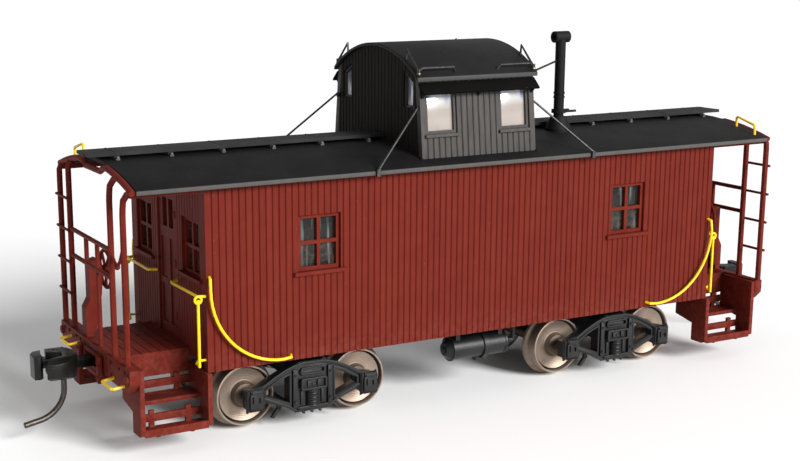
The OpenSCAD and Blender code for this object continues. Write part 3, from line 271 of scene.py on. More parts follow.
def cupolaPaneFinish(name):
    # painted reflections on a pale pane: painted bright at the head, warm below, near white on the end panes,
    # with painted blue and warm patches
    f = Finish(name, roughness=0.08, specular=0.9, coat=1.0)
    height = f.z.steps(*paneMarks["head"])
    paintedReflectionPatch = f.noise(0.55, 1.0, along=f.stretched(1.0, 1.0, 0.35))
    ends = abs(f.x).steps(*paneMarks["endX"]) * (1 - f.z.steps(*paneMarks["endHead"]))
    # every colour below is a painted reflection
    colour = f.mix(height, (0.34, 0.295, 0.26), (0.62, 0.63, 0.66))
    colour = f.mix(ends, colour, (0.93, 0.94, 0.97))
    colour = f.mix(height * paintedReflectionPatch.steps(0.52, 0.60) * 0.8, colour, (0.05, 0.07, 0.20))
    colour = f.mix(paintedReflectionPatch.steps(0.60, 0.70) * (1 - height) * 0.35, colour, (0.20, 0.17, 0.15))
    f.feed(Base_Color=colour, Alpha=0.86 + paintedReflectionPatch * 0.1, Roughness=0.06 + paintedReflectionPatch * 0.08)
    return f.material

red = redFinish("oxideRed")
redBoards = redFinish("oxideRedBoards", boards=True)
black = blackFinish("roofBlack")
# the roof and the cupola's roof get a painted highlight along their outer edges
roofBlack = blackFinish("roofBlackWithPaleLip", lip=(16.93, blackPaint["lip"]))
cupolaRoofBlack = blackFinish("cupolaRoofBlack", lip=(13.50, (0.045, 0.045, 0.045)), roughness=0.55,
                              specular=0.2)
# painted sheen: the cupola's side boards and sashes are painted far lighter than the same black on the ends,
# where the light catches them
cupolaBoardsPaintedSheen = blackFinish("cupolaBoardsBlack", lit=(0.062, 0.057, 0.053), deep=(0.034, 0.031, 0.029),
                           boards=True, roughness=0.5, specular=0.2)
cupolaEndBoards = blackFinish("cupolaEndBlack", lit=(0.020, 0.0155, 0.012), deep=(0.009, 0.0075, 0.006),
                              boards=True, roughness=0.6, specular=0.06)
walkBlack = blackFinish("runningBoardBlack", lit=(0.026, 0.026, 0.027), deep=(0.012, 0.012, 0.0125))
visorBlack = blackFinish("visorBlack", lit=(0.005, 0.0046, 0.0042), deep=(0.003, 0.003, 0.003),
                         roughness=0.7, specular=0.03)
nubGrey = blackFinish("walkNubGrey", lit=(0.10, 0.10, 0.10), deep=(0.05, 0.05, 0.05), specular=0.4)
truckBlack = blackFinish("truckBlack", lit=(0.0125, 0.0128, 0.0135), deep=(0.0055, 0.0055, 0.006),
                         roughness=0.4, specular=0.36)
couplerBlack = blackFinish("couplerBlack", lit=(0.006, 0.0055, 0.0052), deep=(0.003, 0.003, 0.003),
                           roughness=0.32, specular=0.26)
wireBlack = steelFinish("blackWire", (0.10, 0.10, 0.10), (0.04, 0.04, 0.04), roughness=0.42)
pinSteel = steelFinish("tripPinSteel", (0.105, 0.090, 0.078), (0.050, 0.042, 0.037), roughness=0.4)
screwSteel = steelFinish("screwSteel", (0.62, 0.61, 0.60), (0.42, 0.41, 0.40), roughness=0.3)
weightSteel = steelFinish("weightSteel", (0.40, 0.40, 0.41), (0.24, 0.24, 0.25), roughness=0.45, scale=0.3)
brass = steelFinish("brassEyelet", (0.36, 0.25, 0.11), (0.15, 0.10, 0.045), roughness=0.34)
yellow = yellowFinish("railYellow")
wheelMetal = wheelFinish("turnedWheelMetal")
bodyPane = bodyPaneFinish("bodyPane")
cupolaPane = cupolaPaneFinish("cupolaPane")

finishOf = {
    "side_wall": redBoards, "end_wall": redBoards, "end_door": red, "side_sashes": red, "end_sashes": red,
    "body_glass": bodyPane, "roof_grab": yellow, "roof": roofBlack, "running_board": walkBlack,
    "cupola_sides": cupolaBoardsPaintedSheen, "cupola_ends": cupolaEndBoards, "cupola_roof": cupolaRoofBlack,
    "cupola_visors": visorBlack, "cupola_sashes": cupolaBoardsPaintedSheen, "cupola_glass": cupolaPane,
    "cupola_handrails": wireBlack, "smokejack": black, "guy_wires": wireBlack, "underframe": truckBlack,
    "truck_screws": screwSteel, "steel_weight": weightSteel, "air_reservoir": truckBlack,
    "brake_cylinder": truckBlack, "platform": red, "end_sill": red, "steps": red, "draft_box": red,
    "railing": red, "ladder": red, "brake_stand": red, "side_grab": yellow, "corner_handrails": yellow,
    "sill_grab": yellow, "truck_": truckBlack, "wheels": wheelMetal, "axle": wheelMetal,
    "coupler": couplerBlack, "knuckle": couplerBlack,
}

def finishFor(name):
    best = max((key for key in finishOf if name.startswith(key)), key=len)
    return finishOf[best]

for name, obj in nodes.items():
    obj.data.materials.clear()
    obj.data.materials.append(finishFor(name))
print("finishes made")

bodyOf = {name: body for body, members in frame["record"]["behaviour"]["bodies"].items() for name in members}

def addPiece(name, mesh, material, body):
    obj = bpy.data.objects.new(name, mesh)
    bpy.context.collection.objects.link(obj)
    mesh.materials.clear()
    mesh.materials.append(material)
    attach(obj, body)
    return obj

def meshFrom(name, build):
    # build fills a bmesh in millimetres; the mesh is in metres with its faces outwards
    bm = bmesh.new()
    build(bm)
    bmesh.ops.remove_doubles(bm, verts=bm.verts, dist=1e-4)
    bmesh.ops.recalc_face_normals(bm, faces=bm.faces)
    bmesh.ops.scale(bm, vec=(mm, mm, mm), verts=bm.verts)
    mesh = bpy.data.meshes.new(name)
    bm.to_mesh(mesh)
    bm.free()
    return mesh

def applied(obj):
    # the object's modifiers, worked into a plain mesh
    mesh = bpy.data.meshes.new_from_object(obj.evaluated_get(bpy.context.evaluated_depsgraph_get()))
    bpy.data.objects.remove(obj)
    return mesh

def shaded(mesh, sharpest):
    # smooth, but for edges over an angle
    mesh.shade_smooth()
    mesh.set_sharp_from_angle(angle=math.radians(sharpest))
    return mesh

def softened(mesh, width):
    # small rounds on every edge over 32 degrees
    obj = bpy.data.objects.new("softening", mesh)
    bpy.context.collection.objects.link(obj)
    bevel = obj.modifiers.new("edge", "BEVEL")
    bevel.width, bevel.segments, bevel.limit_method = width * mm, 2, "ANGLE"
    bevel.angle_limit = math.radians(32)
    bevel.harden_normals = False
    return shaded(applied(obj), 40)

def softenNode(name, width):
    # a rounded copy of a part stands in for it
    mesh = nodes[name].data.copy()
    bm = bmesh.new()
    bm.from_mesh(mesh)
    bmesh.ops.remove_doubles(bm, verts=bm.verts, dist=2e-7)
    bmesh.ops.dissolve_limit(bm, angle_limit=math.radians(1.0), verts=bm.verts, edges=bm.edges)
    bm.to_mesh(mesh)
    bm.free()
    camel = "".join(word.capitalize() if i else word for i, word in enumerate(name.split("_")))
    piece = addPiece(camel, softened(mesh, width), finishFor(name), bodyOf[name])
    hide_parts(name)

# width of each part's rounded edges; sashes keep their sharp ones
softEdges = {"coupler_front": 0.12, "coupler_rear": 0.12, "knuckle_front": 0.14, "knuckle_rear": 0.14,
             "end_sill_front": 0.1, "end_sill_rear": 0.1, "truck_sideframes_front": 0.1,
             "truck_sideframes_rear": 0.1, "draft_box_front": 0.1, "draft_box_rear": 0.1,
             "cupola_roof": 0.12, "cupola_visors": 0.07, "cupola_glass": 0.03,
             "steps_front": 0.06, "steps_rear": 0.06, "roof": 0.1, "body_glass": 0.04}
for name, width in softEdges.items():
    softenNode(name, width)
print("edges softened")

# in what follows every build fills a bmesh in millimetres
def block(bm, low, high):
    made = bmesh.ops.create_cube(bm, size=1.0)["verts"]
    size = [h - l for l, h in zip(low, high)]
    middle = [(h + l) / 2 for l, h in zip(low, high)]
    bmesh.ops.scale(bm, vec=size, verts=made)
    bmesh.ops.translate(bm, vec=middle, verts=made)

def barrel(bm, start, end, r1, r2=None, sides=10):
    start, end = Vector(start), Vector(end)
    along = end - start
    turn = along.to_track_quat("Z", "Y").to_matrix().to_4x4()
    bmesh.ops.create_cone(bm, cap_ends=True, segments=sides, radius1=r1, radius2=r1 if r2 is None else r2,
                          depth=along.length, matrix=Matrix.Translation((start + end) / 2) @ turn)

def prism(bm, outline, y0, y1):
    # an outline in x and z, given thickness along y
    low = [bm.verts.new((x, y0, z)) for x, z in outline]
    high = [bm.verts.new((x, y1, z)) for x, z in outline]
    bm.faces.new(low)
    bm.faces.new(list(reversed(high)))
    for i in range(len(outline)):
        j = (i + 1) % len(outline)
        bm.faces.new((low[j], low[i], high[i], high[j]))

def joinRows(bm, rows, closed=False):
    # a skin over rows of points that go round a solid, capped at both ends unless it closes on itself
    for one, two in zip(rows, rows[1:] + (rows[:1] if closed else [])):
        for k in range(len(one)):
            j = (k + 1) % len(one)
            bm.faces.new((one[k], one[j], two[j], two[k]))
    if not closed:
        bm.faces.new(rows[0])
        bm.faces.new(rows[-1])

def band(bm, path, width, y0, y1, closed=False):
    # a raised strip that follows a path in x and z
    count = len(path)
    left, right = [], []
    for i in range(count):
        before = Vector(path[i - 1]) if closed or i else Vector(path[i])
        after = Vector(path[(i + 1) % count]) if closed or i < count - 1 else Vector(path[i])
        here = Vector(path[i])
        d1 = (here - before).normalized() if here != before else (after - here).normalized()
        d2 = (after - here).normalized() if here != after else d1
        normal = Vector((-(d1 + d2)[1], (d1 + d2)[0])).normalized()
        spread = width / 2 / max(0.4, normal.dot(Vector((-d1[1], d1[0]))))
        left.append(here + normal * spread)
        right.append(here - normal * spread)
    rows = [[bm.verts.new((p[0], y, p[1])) for p, y in ((a, y0), (a, y1), (b, y1), (b, y0))]
            for a, b in zip(left, right)]
    joinRows(bm, rows, closed)

def oval(cx, cz, w, h, r, steps=5):
    # corners of a rounded rectangle
    points = []
    for sx, sz, start in ((1, 1, 0), (-1, 1, 90), (-1, -1, 180), (1, -1, 270)):
        for k in range(steps + 1):
            a = math.radians(start + 90 * k / steps)
            x = cx + sx * (w / 2 - r) + r * math.cos(a)
            points.append((x, cz + sz * (h / 2 - r) + r * math.sin(a)))
    return points

class Tree:
    # a geometry node tree with named inputs, run on a mesh of points
    def __init__(self, name, sizes):
        self.group = bpy.data.node_groups.new(name, "GeometryNodeTree")
        self.group.interface.new_socket("Geometry", in_out="INPUT", socket_type="NodeSocketGeometry")
        self.group.interface.new_socket("Geometry", in_out="OUTPUT", socket_type="NodeSocketGeometry")
        self.ids = {}
        for key, kind in sizes.items():
            self.ids[key] = self.group.interface.new_socket(key, in_out="INPUT", socket_type=kind).identifier
        self.input = self.group.nodes.new("NodeGroupInput")
        self.output = self.group.nodes.new("NodeGroupOutput")

    def node(self, kind, settings=None, inputs=None):
        made = self.group.nodes.new(kind)
        for key, setting in (settings or {}).items():
            setattr(made, key, setting)
        for key, given in (inputs or {}).items():
            if isinstance(given, bpy.types.NodeSocket):
                self.group.links.new(given, made.inputs[key])
            else:
                made.inputs[key].default_value = given
        return made

    def finish(self, geometry):
        real = self.node("GeometryNodeRealizeInstances", {}, {0: geometry})
        painted = self.node("GeometryNodeSetMaterial", {}, {0: real.outputs[0],
                                                            "Material": self.input.outputs["Material"]})
        self.group.links.new(painted.outputs[0], self.output.inputs[0])

    def run(self, name, points, facings, material, body, slot, **sizes):
        mesh = bpy.data.meshes.new(name)
        mesh.from_pydata([[v * mm for v in p] for p in points], [], [])
        facing = mesh.attributes.new("facing", "FLOAT_VECTOR", "POINT")
        for item, direction in zip(facing.data, facings):
            item.vector = direction
        obj = bpy.data.objects.new(name + "Points", mesh)
        bpy.context.collection.objects.link(obj)
        modifier = obj.modifiers.new("repeat", "NODES")
        modifier.node_group = self.group
        modifier[self.ids["Material"]] = material
        for key, size in sizes.items():
            modifier[self.ids[key]] = size
        addPiece(name, shaded(applied(obj), 35), material, body)

def boltTree():
    # a head of some sides, centred on each point and turned to its facing
    t = Tree("boltHeads", {"Head": "NodeSocketFloat", "Height": "NodeSocketFloat", "Sides": "NodeSocketInt",
                           "Material": "NodeSocketMaterial"})
    sizes = t.input.outputs
    head = t.node("GeometryNodeMeshCylinder", {"fill_type": "NGON"}, {
        "Vertices": sizes["Sides"], "Radius": sizes["Head"], "Depth": sizes["Height"]})
    facing = t.node("GeometryNodeInputNamedAttribute", {"data_type": "FLOAT_VECTOR"}, {"Name": "facing"})
    turn = t.node("FunctionNodeAlignRotationToVector", {"axis": "Z"}, {"Vector": facing.outputs[0]})
    placed = t.node("GeometryNodeInstanceOnPoints", {}, {
        "Points": sizes[0], "Instance": head.outputs[0], "Rotation": turn.outputs[0]})
    t.finish(placed.outputs[0])
    return t

def coilTree():
    # an upright coil spring on each point
    t = Tree("coilSprings", {"Radius": "NodeSocketFloat", "Height": "NodeSocketFloat",
                             "Turns": "NodeSocketFloat", "Wire": "NodeSocketFloat",
                             "Material": "NodeSocketMaterial"})
    sizes = t.input.outputs
    spiral = t.node("GeometryNodeCurveSpiral", {}, {
        "Resolution": 28, "Rotations": sizes["Turns"], "Start Radius": sizes["Radius"],
        "End Radius": sizes["Radius"], "Height": sizes["Height"]})
    ring = t.node("GeometryNodeCurvePrimitiveCircle", {}, {"Resolution": 10, "Radius": sizes["Wire"]})
    tube = t.node("GeometryNodeCurveToMesh", {}, {
        0: spiral.outputs[0], 1: ring.outputs[0], "Fill Caps": True})
    placed = t.node("GeometryNodeInstanceOnPoints", {}, {"Points": sizes[0], "Instance": tube.outputs[0]})
    t.finish(placed.outputs[0])
    return t

bolts = boltTree()
coils = coilTree()

# relief on the side frames: outlines in x from the truck's middle and z, but the tab's from its journal
casting = {
    "arch": [(-10.55, 6.8), (-8.55, 7.3), (-6.2, 8.7), (-4.4, 9.55), (-3.1, 10.0), (-1.7, 10.27)],
    "foot": [(-8.15, 5.65), (-4.1, 3.92), (-3.0, 2.95)],
    "window": [(3.72, 4.15), (3.72, 8.95), (5.4, 8.35), (7.9, 6.9), (7.8, 5.75)],
    "guide": [(2.6, 3.4), (3.35, 3.6), (3.35, 9.2), (2.6, 9.5)],
    "hook": [(4.3, 3.3), (5.0, 3.1), (6.1, 1.75), (5.6, 1.6)],
    "shoe": [(4.5, 4.6), (5.0, 4.6), (5.0, 3.0), (4.4, 3.0)],
    "tab": [(-0.55, -0.2), (-0.55, 0.75), (0.55, 0.75), (0.55, -0.2)],
    "shoeY": (10.9, 11.5), "soft": 0.05}
spring = {"y": 13.25, "z": 3.6, "radius": 0.98, "height": 2.5, "wire": 0.13, "turns": 8.0}
columnBolt = {"x": 2.98, "y": 13.75, "z": (4.4, 8.6), "head": 0.22, "height": 0.3}

def truckSide(bm, s, cx):
    t = truck
    y0, y1 = s * (t["out"] - 0.05), s * (t["out"] + t["proud"])
    for line in (casting["arch"], casting["foot"]):
        whole = line + [(-x, z) for x, z in reversed(line)]
        band(bm, [(cx + x, z) for x, z in whole], t["rib"], y0, y1)
    for side in (-1, 1):
        band(bm, [(cx + side * x, z) for x, z in casting["window"]], 0.28, y0, y1 - s * 0.1, closed=True)
        # journal box: stepped face, lid with its n-shaped tab and hinge, two box bolts
        jx, jz = cx + side * t["half"], t["axleZ"] + 0.25
        face = s * t["journalOut"]
        prism(bm, oval(jx, jz, 2.8, 3.3, 0.4), s * (t["out"] - 0.1), face)
        prism(bm, oval(jx, jz - 0.05, 2.15, 2.4, 0.3), face - s * 0.05, face + s * 0.34)
        band(bm, [(jx + x, jz + z) for x, z in casting["tab"]], 0.26, face + s * 0.3, face + s * 0.62)
        prism(bm, oval(jx, jz + 1.35, 1.7, 0.5, 0.2), face - s * 0.1, face + s * 0.48)
        for k in (-1, 1):
            post = (jx + k * 1.3, s * (t["out"] + 0.3))
            barrel(bm, (*post, jz - 1.85), (*post, jz + 1.85), 0.2)
        # column guides beside the spring
        prism(bm, [(cx + side * x, z) for x, z in casting["guide"]], y0, y1 + s * 0.08)
        prism(bm, oval(cx + side * 1.75, 4.9, 0.5, 2.2, 0.15), y0, y1 - s * 0.1)
    # bolster end: long slot above, boss with two lugs below
    slot = [(cx + x, z) for x, z in oval(0, 9.05, 4.0, 0.95, 0.42)]
    band(bm, slot, 0.24, y0, y1 + s * 0.12, closed=True)
    rim = [(cx + x, z) for x, z in oval(0, 7.1, 4.1, 1.55, 0.15, steps=2)]
    band(bm, rim, 0.3, y1, s * (t["out"] + 0.95), closed=True)
    for x in (-0.85, 0.85):
        prism(bm, oval(cx + x, 7.15, 0.6, 0.9, 0.12), y1, s * (t["out"] + 0.9))
    prism(bm, oval(cx, 6.95, 0.6, 0.35, 0.1), y1, s * (t["out"] + 0.8))
    # spring seat and plank
    prism(bm, oval(cx, 3.35, 4.9, 0.5, 0.15), y0, s * (t["out"] + 0.62))
    prism(bm, oval(cx, 2.95, 3.6, 0.45, 0.15), y0, s * (t["out"] + 0.3))
    for x in (-1.5, -0.1, 1.3):
        prism(bm, oval(cx + x, 2.55, 0.4, 0.4, 0.1), y0, y1 - s * 0.05)
    # brake hangers and shoes that show under the windows
    inside, outside = [s * y for y in casting["shoeY"]]
    for side in (-1, 1):
        for line in (casting["hook"], casting["shoe"]):
            prism(bm, [(cx + side * x, z) for x, z in line], inside, outside)

for body, cx in (("truck_front", -truck["x"]), ("truck_rear", truck["x"])):
    end = body[6:].capitalize()
    mesh = meshFrom("castDetail", lambda bm: [truckSide(bm, s, cx) for s in (-1, 1)])
    addPiece("castDetail" + end, softened(mesh, casting["soft"]), truckBlack, body)
    seats = [(cx, s * spring["y"], spring["z"]) for s in (-1, 1)]
    coils.run("coilSprings" + end, seats, [(0, 0, 1)] * 2, truckBlack, body, "truck_black",
              Radius=spring["radius"] * mm, Height=spring["height"] * mm, Turns=spring["turns"],
              Wire=spring["wire"] * mm)
    heads = [(cx + k * columnBolt["x"], s * columnBolt["y"], z)
             for s in (-1, 1) for k in (-1, 1) for z in columnBolt["z"]]
    bolts.run("columnBolts" + end, heads, [(0, 1 if p[1] > 0 else -1, 0) for p in heads], truckBlack,
              body, "truck_black", Head=columnBolt["head"] * mm, Height=columnBolt["height"] * mm, Sides=6)

# one wheel's section: distance from the axle's line against distance out from its back face
wheelSection = [
    (1.0, 2.72), (1.5, 2.74), (1.78, 2.62), (1.92, 2.3), (2.1, 1.9), (2.5, 1.84), (4.05, 2.25), (4.16, 2.16),
    (4.19, 1.45), (4.38, 1.45), (4.41, 2.7), (4.46, 2.79), (4.6, 2.8), (4.7, 2.75), (4.75, 2.62), (4.8, 1.15),
    (4.86, 0.95), (5.06, 0.76), (5.3, 0.62), (5.41, 0.45), (5.44, 0.27), (5.4, 0.1), (5.24, 0.01),
    (4.2, 0.0), (4.0, 0.12), (3.9, 0.6), (2.1, 0.5), (1.95, 0.3), (1.9, -0.15), (1.75, -0.2), (1.0, -0.2)]
wheelSize = {"back": 7.2, "sides": 72, "axles": (-38.7, -19.4, 19.4, 38.7)}

def lathedWheel(bm, cx, s):
    rings = []
    for r, out in wheelSection:
        ring = []
        for k in range(wheelSize["sides"]):
            a = 2 * math.pi * k / wheelSize["sides"]
            place = (cx + r * math.cos(a), s * (wheelSize["back"] + out), truck["axleZ"] + r * math.sin(a))
            ring.append(bm.verts.new(place))
        rings.append(ring)
    joinRows(bm, rings, closed=True)

for number, cx in enumerate(wheelSize["axles"], 1):
    mesh = meshFrom("lathedWheels", lambda bm: [lathedWheel(bm, cx, s) for s in (-1, 1)])
    piece = addPiece("lathedWheels" + str(number), shaded(mesh, 38), wheelMetal, "wheelset_" + str(number))
    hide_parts("wheels_" + str(number))
print("trucks detailed")

# the roof's arc and its running boards; heads and nubs stand at each saddle
roofSize = {"r": 58.71, "cz": -16.91}
walk = {"top": 42.75, "plank": 1.85, "saddles": [57.45 - 2.2 - i * 8.3 for i in range(6)], "headY": 0.4,
        "nubY": 3.3, "nubRise": 0.3, "nubR": 0.24}

def roofTop(y):
    return roofSize["cz"] + math.sqrt(roofSize["r"] ** 2 - y * y)

walkHeads = []
for s in (-1, 1):
    for saddle in walk["saddles"]:
        for k in (-1, 0, 1):
            walkHeads += [(s * saddle, k * walk["plank"] + d, walk["top"] + 0.03)
                          for d in (-walk["headY"], walk["headY"])]
bolts.run("walkBolts", walkHeads, [(0, 0, 1)] * len(walkHeads), walkBlack, "carbody", "roof_black",
          Head=0.16 * mm, Height=0.1 * mm, Sides=8)

def saddleNubs(bm):
    # round saddle ends that show beside the running boards
    for s in (-1, 1):
        for saddle in walk["saddles"]:
            for side in (-1, 1):
                x, y = s * saddle, side * walk["nubY"]
                z = roofTop(y)
                up = z + walk["nubRise"]
                block(bm, (x - 0.3, y - 0.25, z - 0.1), (x + 0.3, y + 0.25, z + 0.2))
                barrel(bm, (x, y - side * 0.2, up), (x, y + side * 0.28, up), walk["nubR"], sides=12)

addPiece("walkNubs", softened(meshFrom("walkNubs", saddleNubs), 0.05), nubGrey, "carbody")

eyePlate = {"x": 11.0, "y": 12.1, "halfX": 0.16, "halfY": 0.35, "z": (47.3, 48.0)}
flashing = {"x": (10.48, 10.85), "from": 7.3, "reach": 7.3, "steps": 6, "sunk": 0.1, "rise": 0.22}

def roofTrim(bm):
    # eye plates where the stays meet the cupola, and flashing round the cupola's foot
    low, high = eyePlate["z"]
    near, far = flashing["x"]
    corners = [(sx, sy) for sx in (-1, 1) for sy in (-1, 1)]
    for sx, sy in corners:
        x, y = sx * eyePlate["x"], sy * eyePlate["y"]
        block(bm, (x - eyePlate["halfX"], y - eyePlate["halfY"], low),
              (x + eyePlate["halfX"], y + eyePlate["halfY"], high))
    for sx, sy in corners:
        rows = []
        for k in range(flashing["steps"] + 1):
            y = sy * (flashing["from"] + flashing["reach"] * k / flashing["steps"])
            foot, head = roofTop(y) - flashing["sunk"], roofTop(y) + flashing["rise"]
            section = ((near, foot), (far, foot), (far, head), (near, head))
            rows.append([bm.verts.new((sx * x, y, z)) for x, z in section])
        joinRows(bm, rows)

addPiece("roofTrim", meshFrom("roofTrim", roofTrim), black, "carbody")
print("roof detailed")

# the cupola roof's arc, its brackets in y and z, and the eyelets at its corners, each from, to and two radii
cupola = {"r": 22.26, "cz": 34.64, "cornerX": 10.55, "cornerY": 13.0, "bracketX": (-10.1, 0, 10.1),
          "bracket": [(12.9, 49.0), (13.35, 49.15), (13.9, 49.75), (14.0, 50.15), (12.9, 50.9)],
          "eyelets": [(0.12, 0.34, 0.36, 0.27), (0.62, 0.86, 0.28, 0.2)]}

def visorBrackets(bm):
    # small curved brackets under each visor
    line = cupola["bracket"]
    for s in (-1, 1):
        for x in cupola["bracketX"]:
            low = [bm.verts.new((x - 0.2, s * a, b)) for a, b in line]
            high = [bm.verts.new((x + 0.2, s * a, b)) for a, b in line]
            joinRows(bm, [low, high])

addPiece("visorBrackets", meshFrom("visorBrackets", visorBrackets), black, "carbody")

def eyelets(bm):
    # brass rings where the handrails meet the cupola's roof
    z = cupola["cz"] + math.sqrt(cupola["r"] ** 2 - cupola["cornerY"] ** 2)
    for sx in (-1, 1):
        for sy in (-1, 1):
            x, y = sx * cupola["cornerX"], sy * cupola["cornerY"]
            for low, high, r1, r2 in cupola["eyelets"]:
                barrel(bm, (x, y, z + low), (x, y, z + high), r1, r2, sides=14)

addPiece("brassEyelets", meshFrom("brassEyelets", eyelets), brass, "carbody")
print("cupola detailed")

endParts = {"striker": (59.35, 0.7, 9.0, 13.0), "strikerY": 4.45, "boltX": (60.0, 60.2), "boltZ": (12.2, 9.9),
            "pocketX": (59.0, 59.45), "pocketY": 15.3, "pocketZ": 12.4,
            "cover": [(59.5, 9.95), (59.5, 9.3), (56.8, 8.9), (56.8, 9.95)], "coverY": 3.9,
            "knob": (46.72, 2.9, 25.2), "hinge": (46.85, 3.6), "hingeZ": (17.5, 25.5, 33.0)}

def endTrim(bm):
    # striker blocks with their bolts, poling pockets, the draft box's cover, door knobs and hinges
    e = endParts
    back, thick, low, high = e["striker"]
    for s in (-1, 1):
        for k in (-1, 1):
            x, y = min(s * back, s * (back + thick)), k * e["strikerY"]
            block(bm, (x, y - 0.45, low), (x + thick, y + 0.45, high))
            for z in e["boltZ"]:
                barrel(bm, (s * e["boltX"][0], y, z), (s * e["boltX"][1], y, z), 0.25)
            pocket = [(s * x, k * e["pocketY"], e["pocketZ"]) for x in e["pocketX"]]
            barrel(bm, *pocket, 0.75, 0.6, sides=20)
        prism(bm, [(s * x, z) for x, z in e["cover"]], -e["coverY"], e["coverY"])
        x, y, z = s * e["knob"][0], -s * e["knob"][1], e["knob"][2]
        barrel(bm, (x, y, z), (x + s * 0.35, y, z), 0.14)
        barrel(bm, (x + s * 0.3, y, z), (x + s * 0.62, y, z), 0.3, 0.22, sides=14)
        x, y = s * e["hinge"][0], s * e["hinge"][1]
        for z in e["hingeZ"]:
            barrel(bm, (x, y, z - 0.6), (x, y, z + 0.6), 0.2)

addPiece("endTrim", softened(meshFrom("endTrim", endTrim), 0.06), red, "carbody")

# bolt heads on the end sills: two rows, the lower one only beside the draft box
sill = {"x": 59.14, "y": (6.2, 8.2, 11.8, 14.2), "low": 11.2, "high": 13.1, "lowTo": 9}
sillHeads = []
for s in (-1, 1):
    for y in [-y for y in reversed(sill["y"])] + list(sill["y"]):
        rows = (sill["low"], sill["high"]) if abs(y) <= sill["lowTo"] else (sill["high"],)
        sillHeads += [(s * sill["x"], y, z) for z in rows]
bolts.run("sillBolts", sillHeads, [(1 if p[0] > 0 else -1, 0, 0) for p in sillHeads], red, "carbody",
          "oxide_red", Head=0.26 * mm, Height=0.28 * mm, Sides=6)

# under the floor, as start, end and radius: the train pipe and the rods; the tank's plug has two radii
rigging = {"pipe": ((-44, 11.6, 11.9), (44, 11.6, 11.9), 0.42), "clamps": (-38, -20, 0, 20, 38),
           "rods": [((-3.4, 0.4, 9.2), (-16.5, 0.6, 8.9), 0.28), ((-3.4, 5.2, 9.2), (12.6, 3.6, 9.2), 0.28),
                    ((8.5, 8.6, 9.2), (8.5, 8.6, 12.5), 0.3), ((8.5, 8.6, 11.9), (8.5, 11.6, 11.9), 0.3)],
           "plug": ((-3.1, -9.6, 7.75), (-3.45, -9.6, 7.75), 0.5, 0.42)}
tank = {"y": -9.6, "straps": (-1.2, 7.0), "z": 12.0, "headOut": 1.0}

def brakeRigging(bm):
    barrel(bm, *rigging["pipe"], sides=12)
    for x in rigging["clamps"]:
        block(bm, (x - 0.35, 11.1, 11.7), (x + 0.35, 12.1, 12.58))
    for rod in rigging["rods"]:
        barrel(bm, *rod)
    barrel(bm, *rigging["plug"], sides=6)

addPiece("brakeRigging", softened(meshFrom("brakeRigging", brakeRigging), 0.04), truckBlack, "carbody")

strapHeads = [(x, s * tank["headOut"] + tank["y"], tank["z"]) for x in tank["straps"] for s in (-1, 1)]
bolts.run("tankBolts", strapHeads, [(0, -1 if p[1] < tank["y"] else 1, 0) for p in strapHeads], truckBlack,
          "carbody", "underframe_black", Head=0.22 * mm, Height=0.5 * mm, Sides=6)

# the front pin's path: straight down, then a curl forwards, sideways and down, and a straight tip
pin = {"x": -64.0, "y": -0.6, "top": 9.6, "straight": 7.9, "curlTop": 7.8, "curl": (4.9, 0.5, 4.4),
       "turn": 9.6, "turns": 9, "tip": (-70.3, -1.2, 3.12), "r": 0.44, "sides": 14}

def tripPin(bm, s):
    # a pin that curls out below the head
    path = [(pin["x"], pin["y"], pin["top"]), (pin["x"], pin["y"], pin["straight"])]
    ahead, aside, down = pin["curl"]
    for i in range(1, pin["turns"] + 1):
        a = math.radians(pin["turn"] * i)
        out = 1 - math.cos(a)
        path.append((pin["x"] - ahead * out, pin["y"] - aside * out, pin["curlTop"] - down * math.sin(a)))
    path.append(pin["tip"])
    rings = []
    for i, p in enumerate(path):
        before, after = Vector(path[max(0, i - 1)]), Vector(path[min(len(path) - 1, i + 1)])
        d = (after - before).normalized()
        side = d.cross(Vector((0, 1, 0))).normalized()
        other = d.cross(side).normalized()
        ring = []
        for k in range(pin["sides"]):
            a = 2 * math.pi * k / pin["sides"]
            q = Vector(p) + (side * math.cos(a) + other * math.sin(a)) * pin["r"]
            ring.append(bm.verts.new((s * -q[0], s * -q[1], q[2])))
        rings.append(ring)
    joinRows(bm, rings)

for name, s in (("Front", -1), ("Rear", 1)):
    mesh = shaded(meshFrom("tripPin", lambda bm: tripPin(bm, s)), 50)
    addPiece("tripPin" + name, mesh, pinSteel, "coupler_body_" + name.lower())
print("ends, underside and couplers detailed")

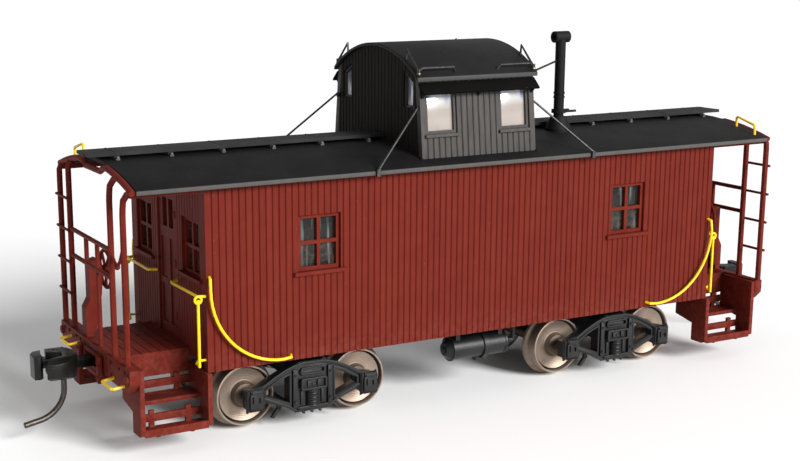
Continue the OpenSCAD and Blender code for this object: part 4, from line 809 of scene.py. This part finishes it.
def makeFloor():
    # a pale square that reaches 12 metres each way
    f = Finish("paleFloor", roughness=0.85, specular=0.1)
    f.feed(Base_Color=f.mix(f.noise(0.004, 2.0), (0.94, 0.94, 0.94), (0.97, 0.97, 0.97)))
    corners = [(12 * x, 12 * y, 0) for x, y in ((-1, -1), (1, -1), (1, 1), (-1, 1))]
    mesh = bpy.data.meshes.new("floor")
    mesh.from_pydata(corners, [], [(0, 1, 2, 3)])
    floor = bpy.data.objects.new("floor", mesh)
    bpy.context.collection.objects.link(floor)
    mesh.materials.append(f.material)

makeFloor()

# one soft sun in a white world; angles in degrees, azimuth 0 in front of the near side
light = {"world": 0.42, "sun": 5.2, "soft": 24, "azimuth": 20, "height": 25}
world = bpy.data.worlds.new("studio")
bpy.context.scene.world = world
world.use_nodes = True
world.node_tree.nodes["Background"].inputs["Color"].default_value = (1, 1, 1, 1)
world.node_tree.nodes["Background"].inputs["Strength"].default_value = light["world"]

def towards(azimuth, height):
    # the direction that lies at an azimuth and a height seen from the part
    a, e = math.radians(azimuth), math.radians(height)
    return Vector((math.sin(a) * math.cos(e), -math.cos(a) * math.cos(e), math.sin(e)))

lamp = bpy.data.lights.new("softKey", "SUN")
lamp.energy, lamp.angle = light["sun"], math.radians(light["soft"])
sun = bpy.data.objects.new("softKey", lamp)
bpy.context.collection.objects.link(sun)
sun.rotation_mode = "QUATERNION"
sun.rotation_quaternion = towards(light["azimuth"], light["height"]).to_track_quat("Z", "Y")

# place in metres, angles in degrees, focal length in millimetres on a 36 mm frame
lens = {"place": (-0.11936, -0.19206, 0.07046), "azimuth": -26.96, "dip": 12.61, "roll": -0.31, "focal": 61.9,
        "shiftX": 0.1061, "shiftY": 0.0405}
camera = bpy.data.objects.new("camera", bpy.data.cameras.new("camera"))
bpy.context.collection.objects.link(camera)
camera.rotation_mode = "QUATERNION"
camera.location = lens["place"]
turn = (-towards(lens["azimuth"], lens["dip"])).to_track_quat("-Z", "Y").to_matrix()
camera.rotation_quaternion = (turn @ Matrix.Rotation(math.radians(lens["roll"]), 3, "Z")).to_quaternion()
camera.data.sensor_width = 36
camera.data.lens = lens["focal"]
camera.data.shift_x, camera.data.shift_y = lens["shiftX"], lens["shiftY"]
camera.data.clip_start, camera.data.clip_end = 0.005, 40
bpy.context.scene.camera = camera
bpy.context.scene.view_settings.view_transform = "Standard"
print("floor, light and camera set")
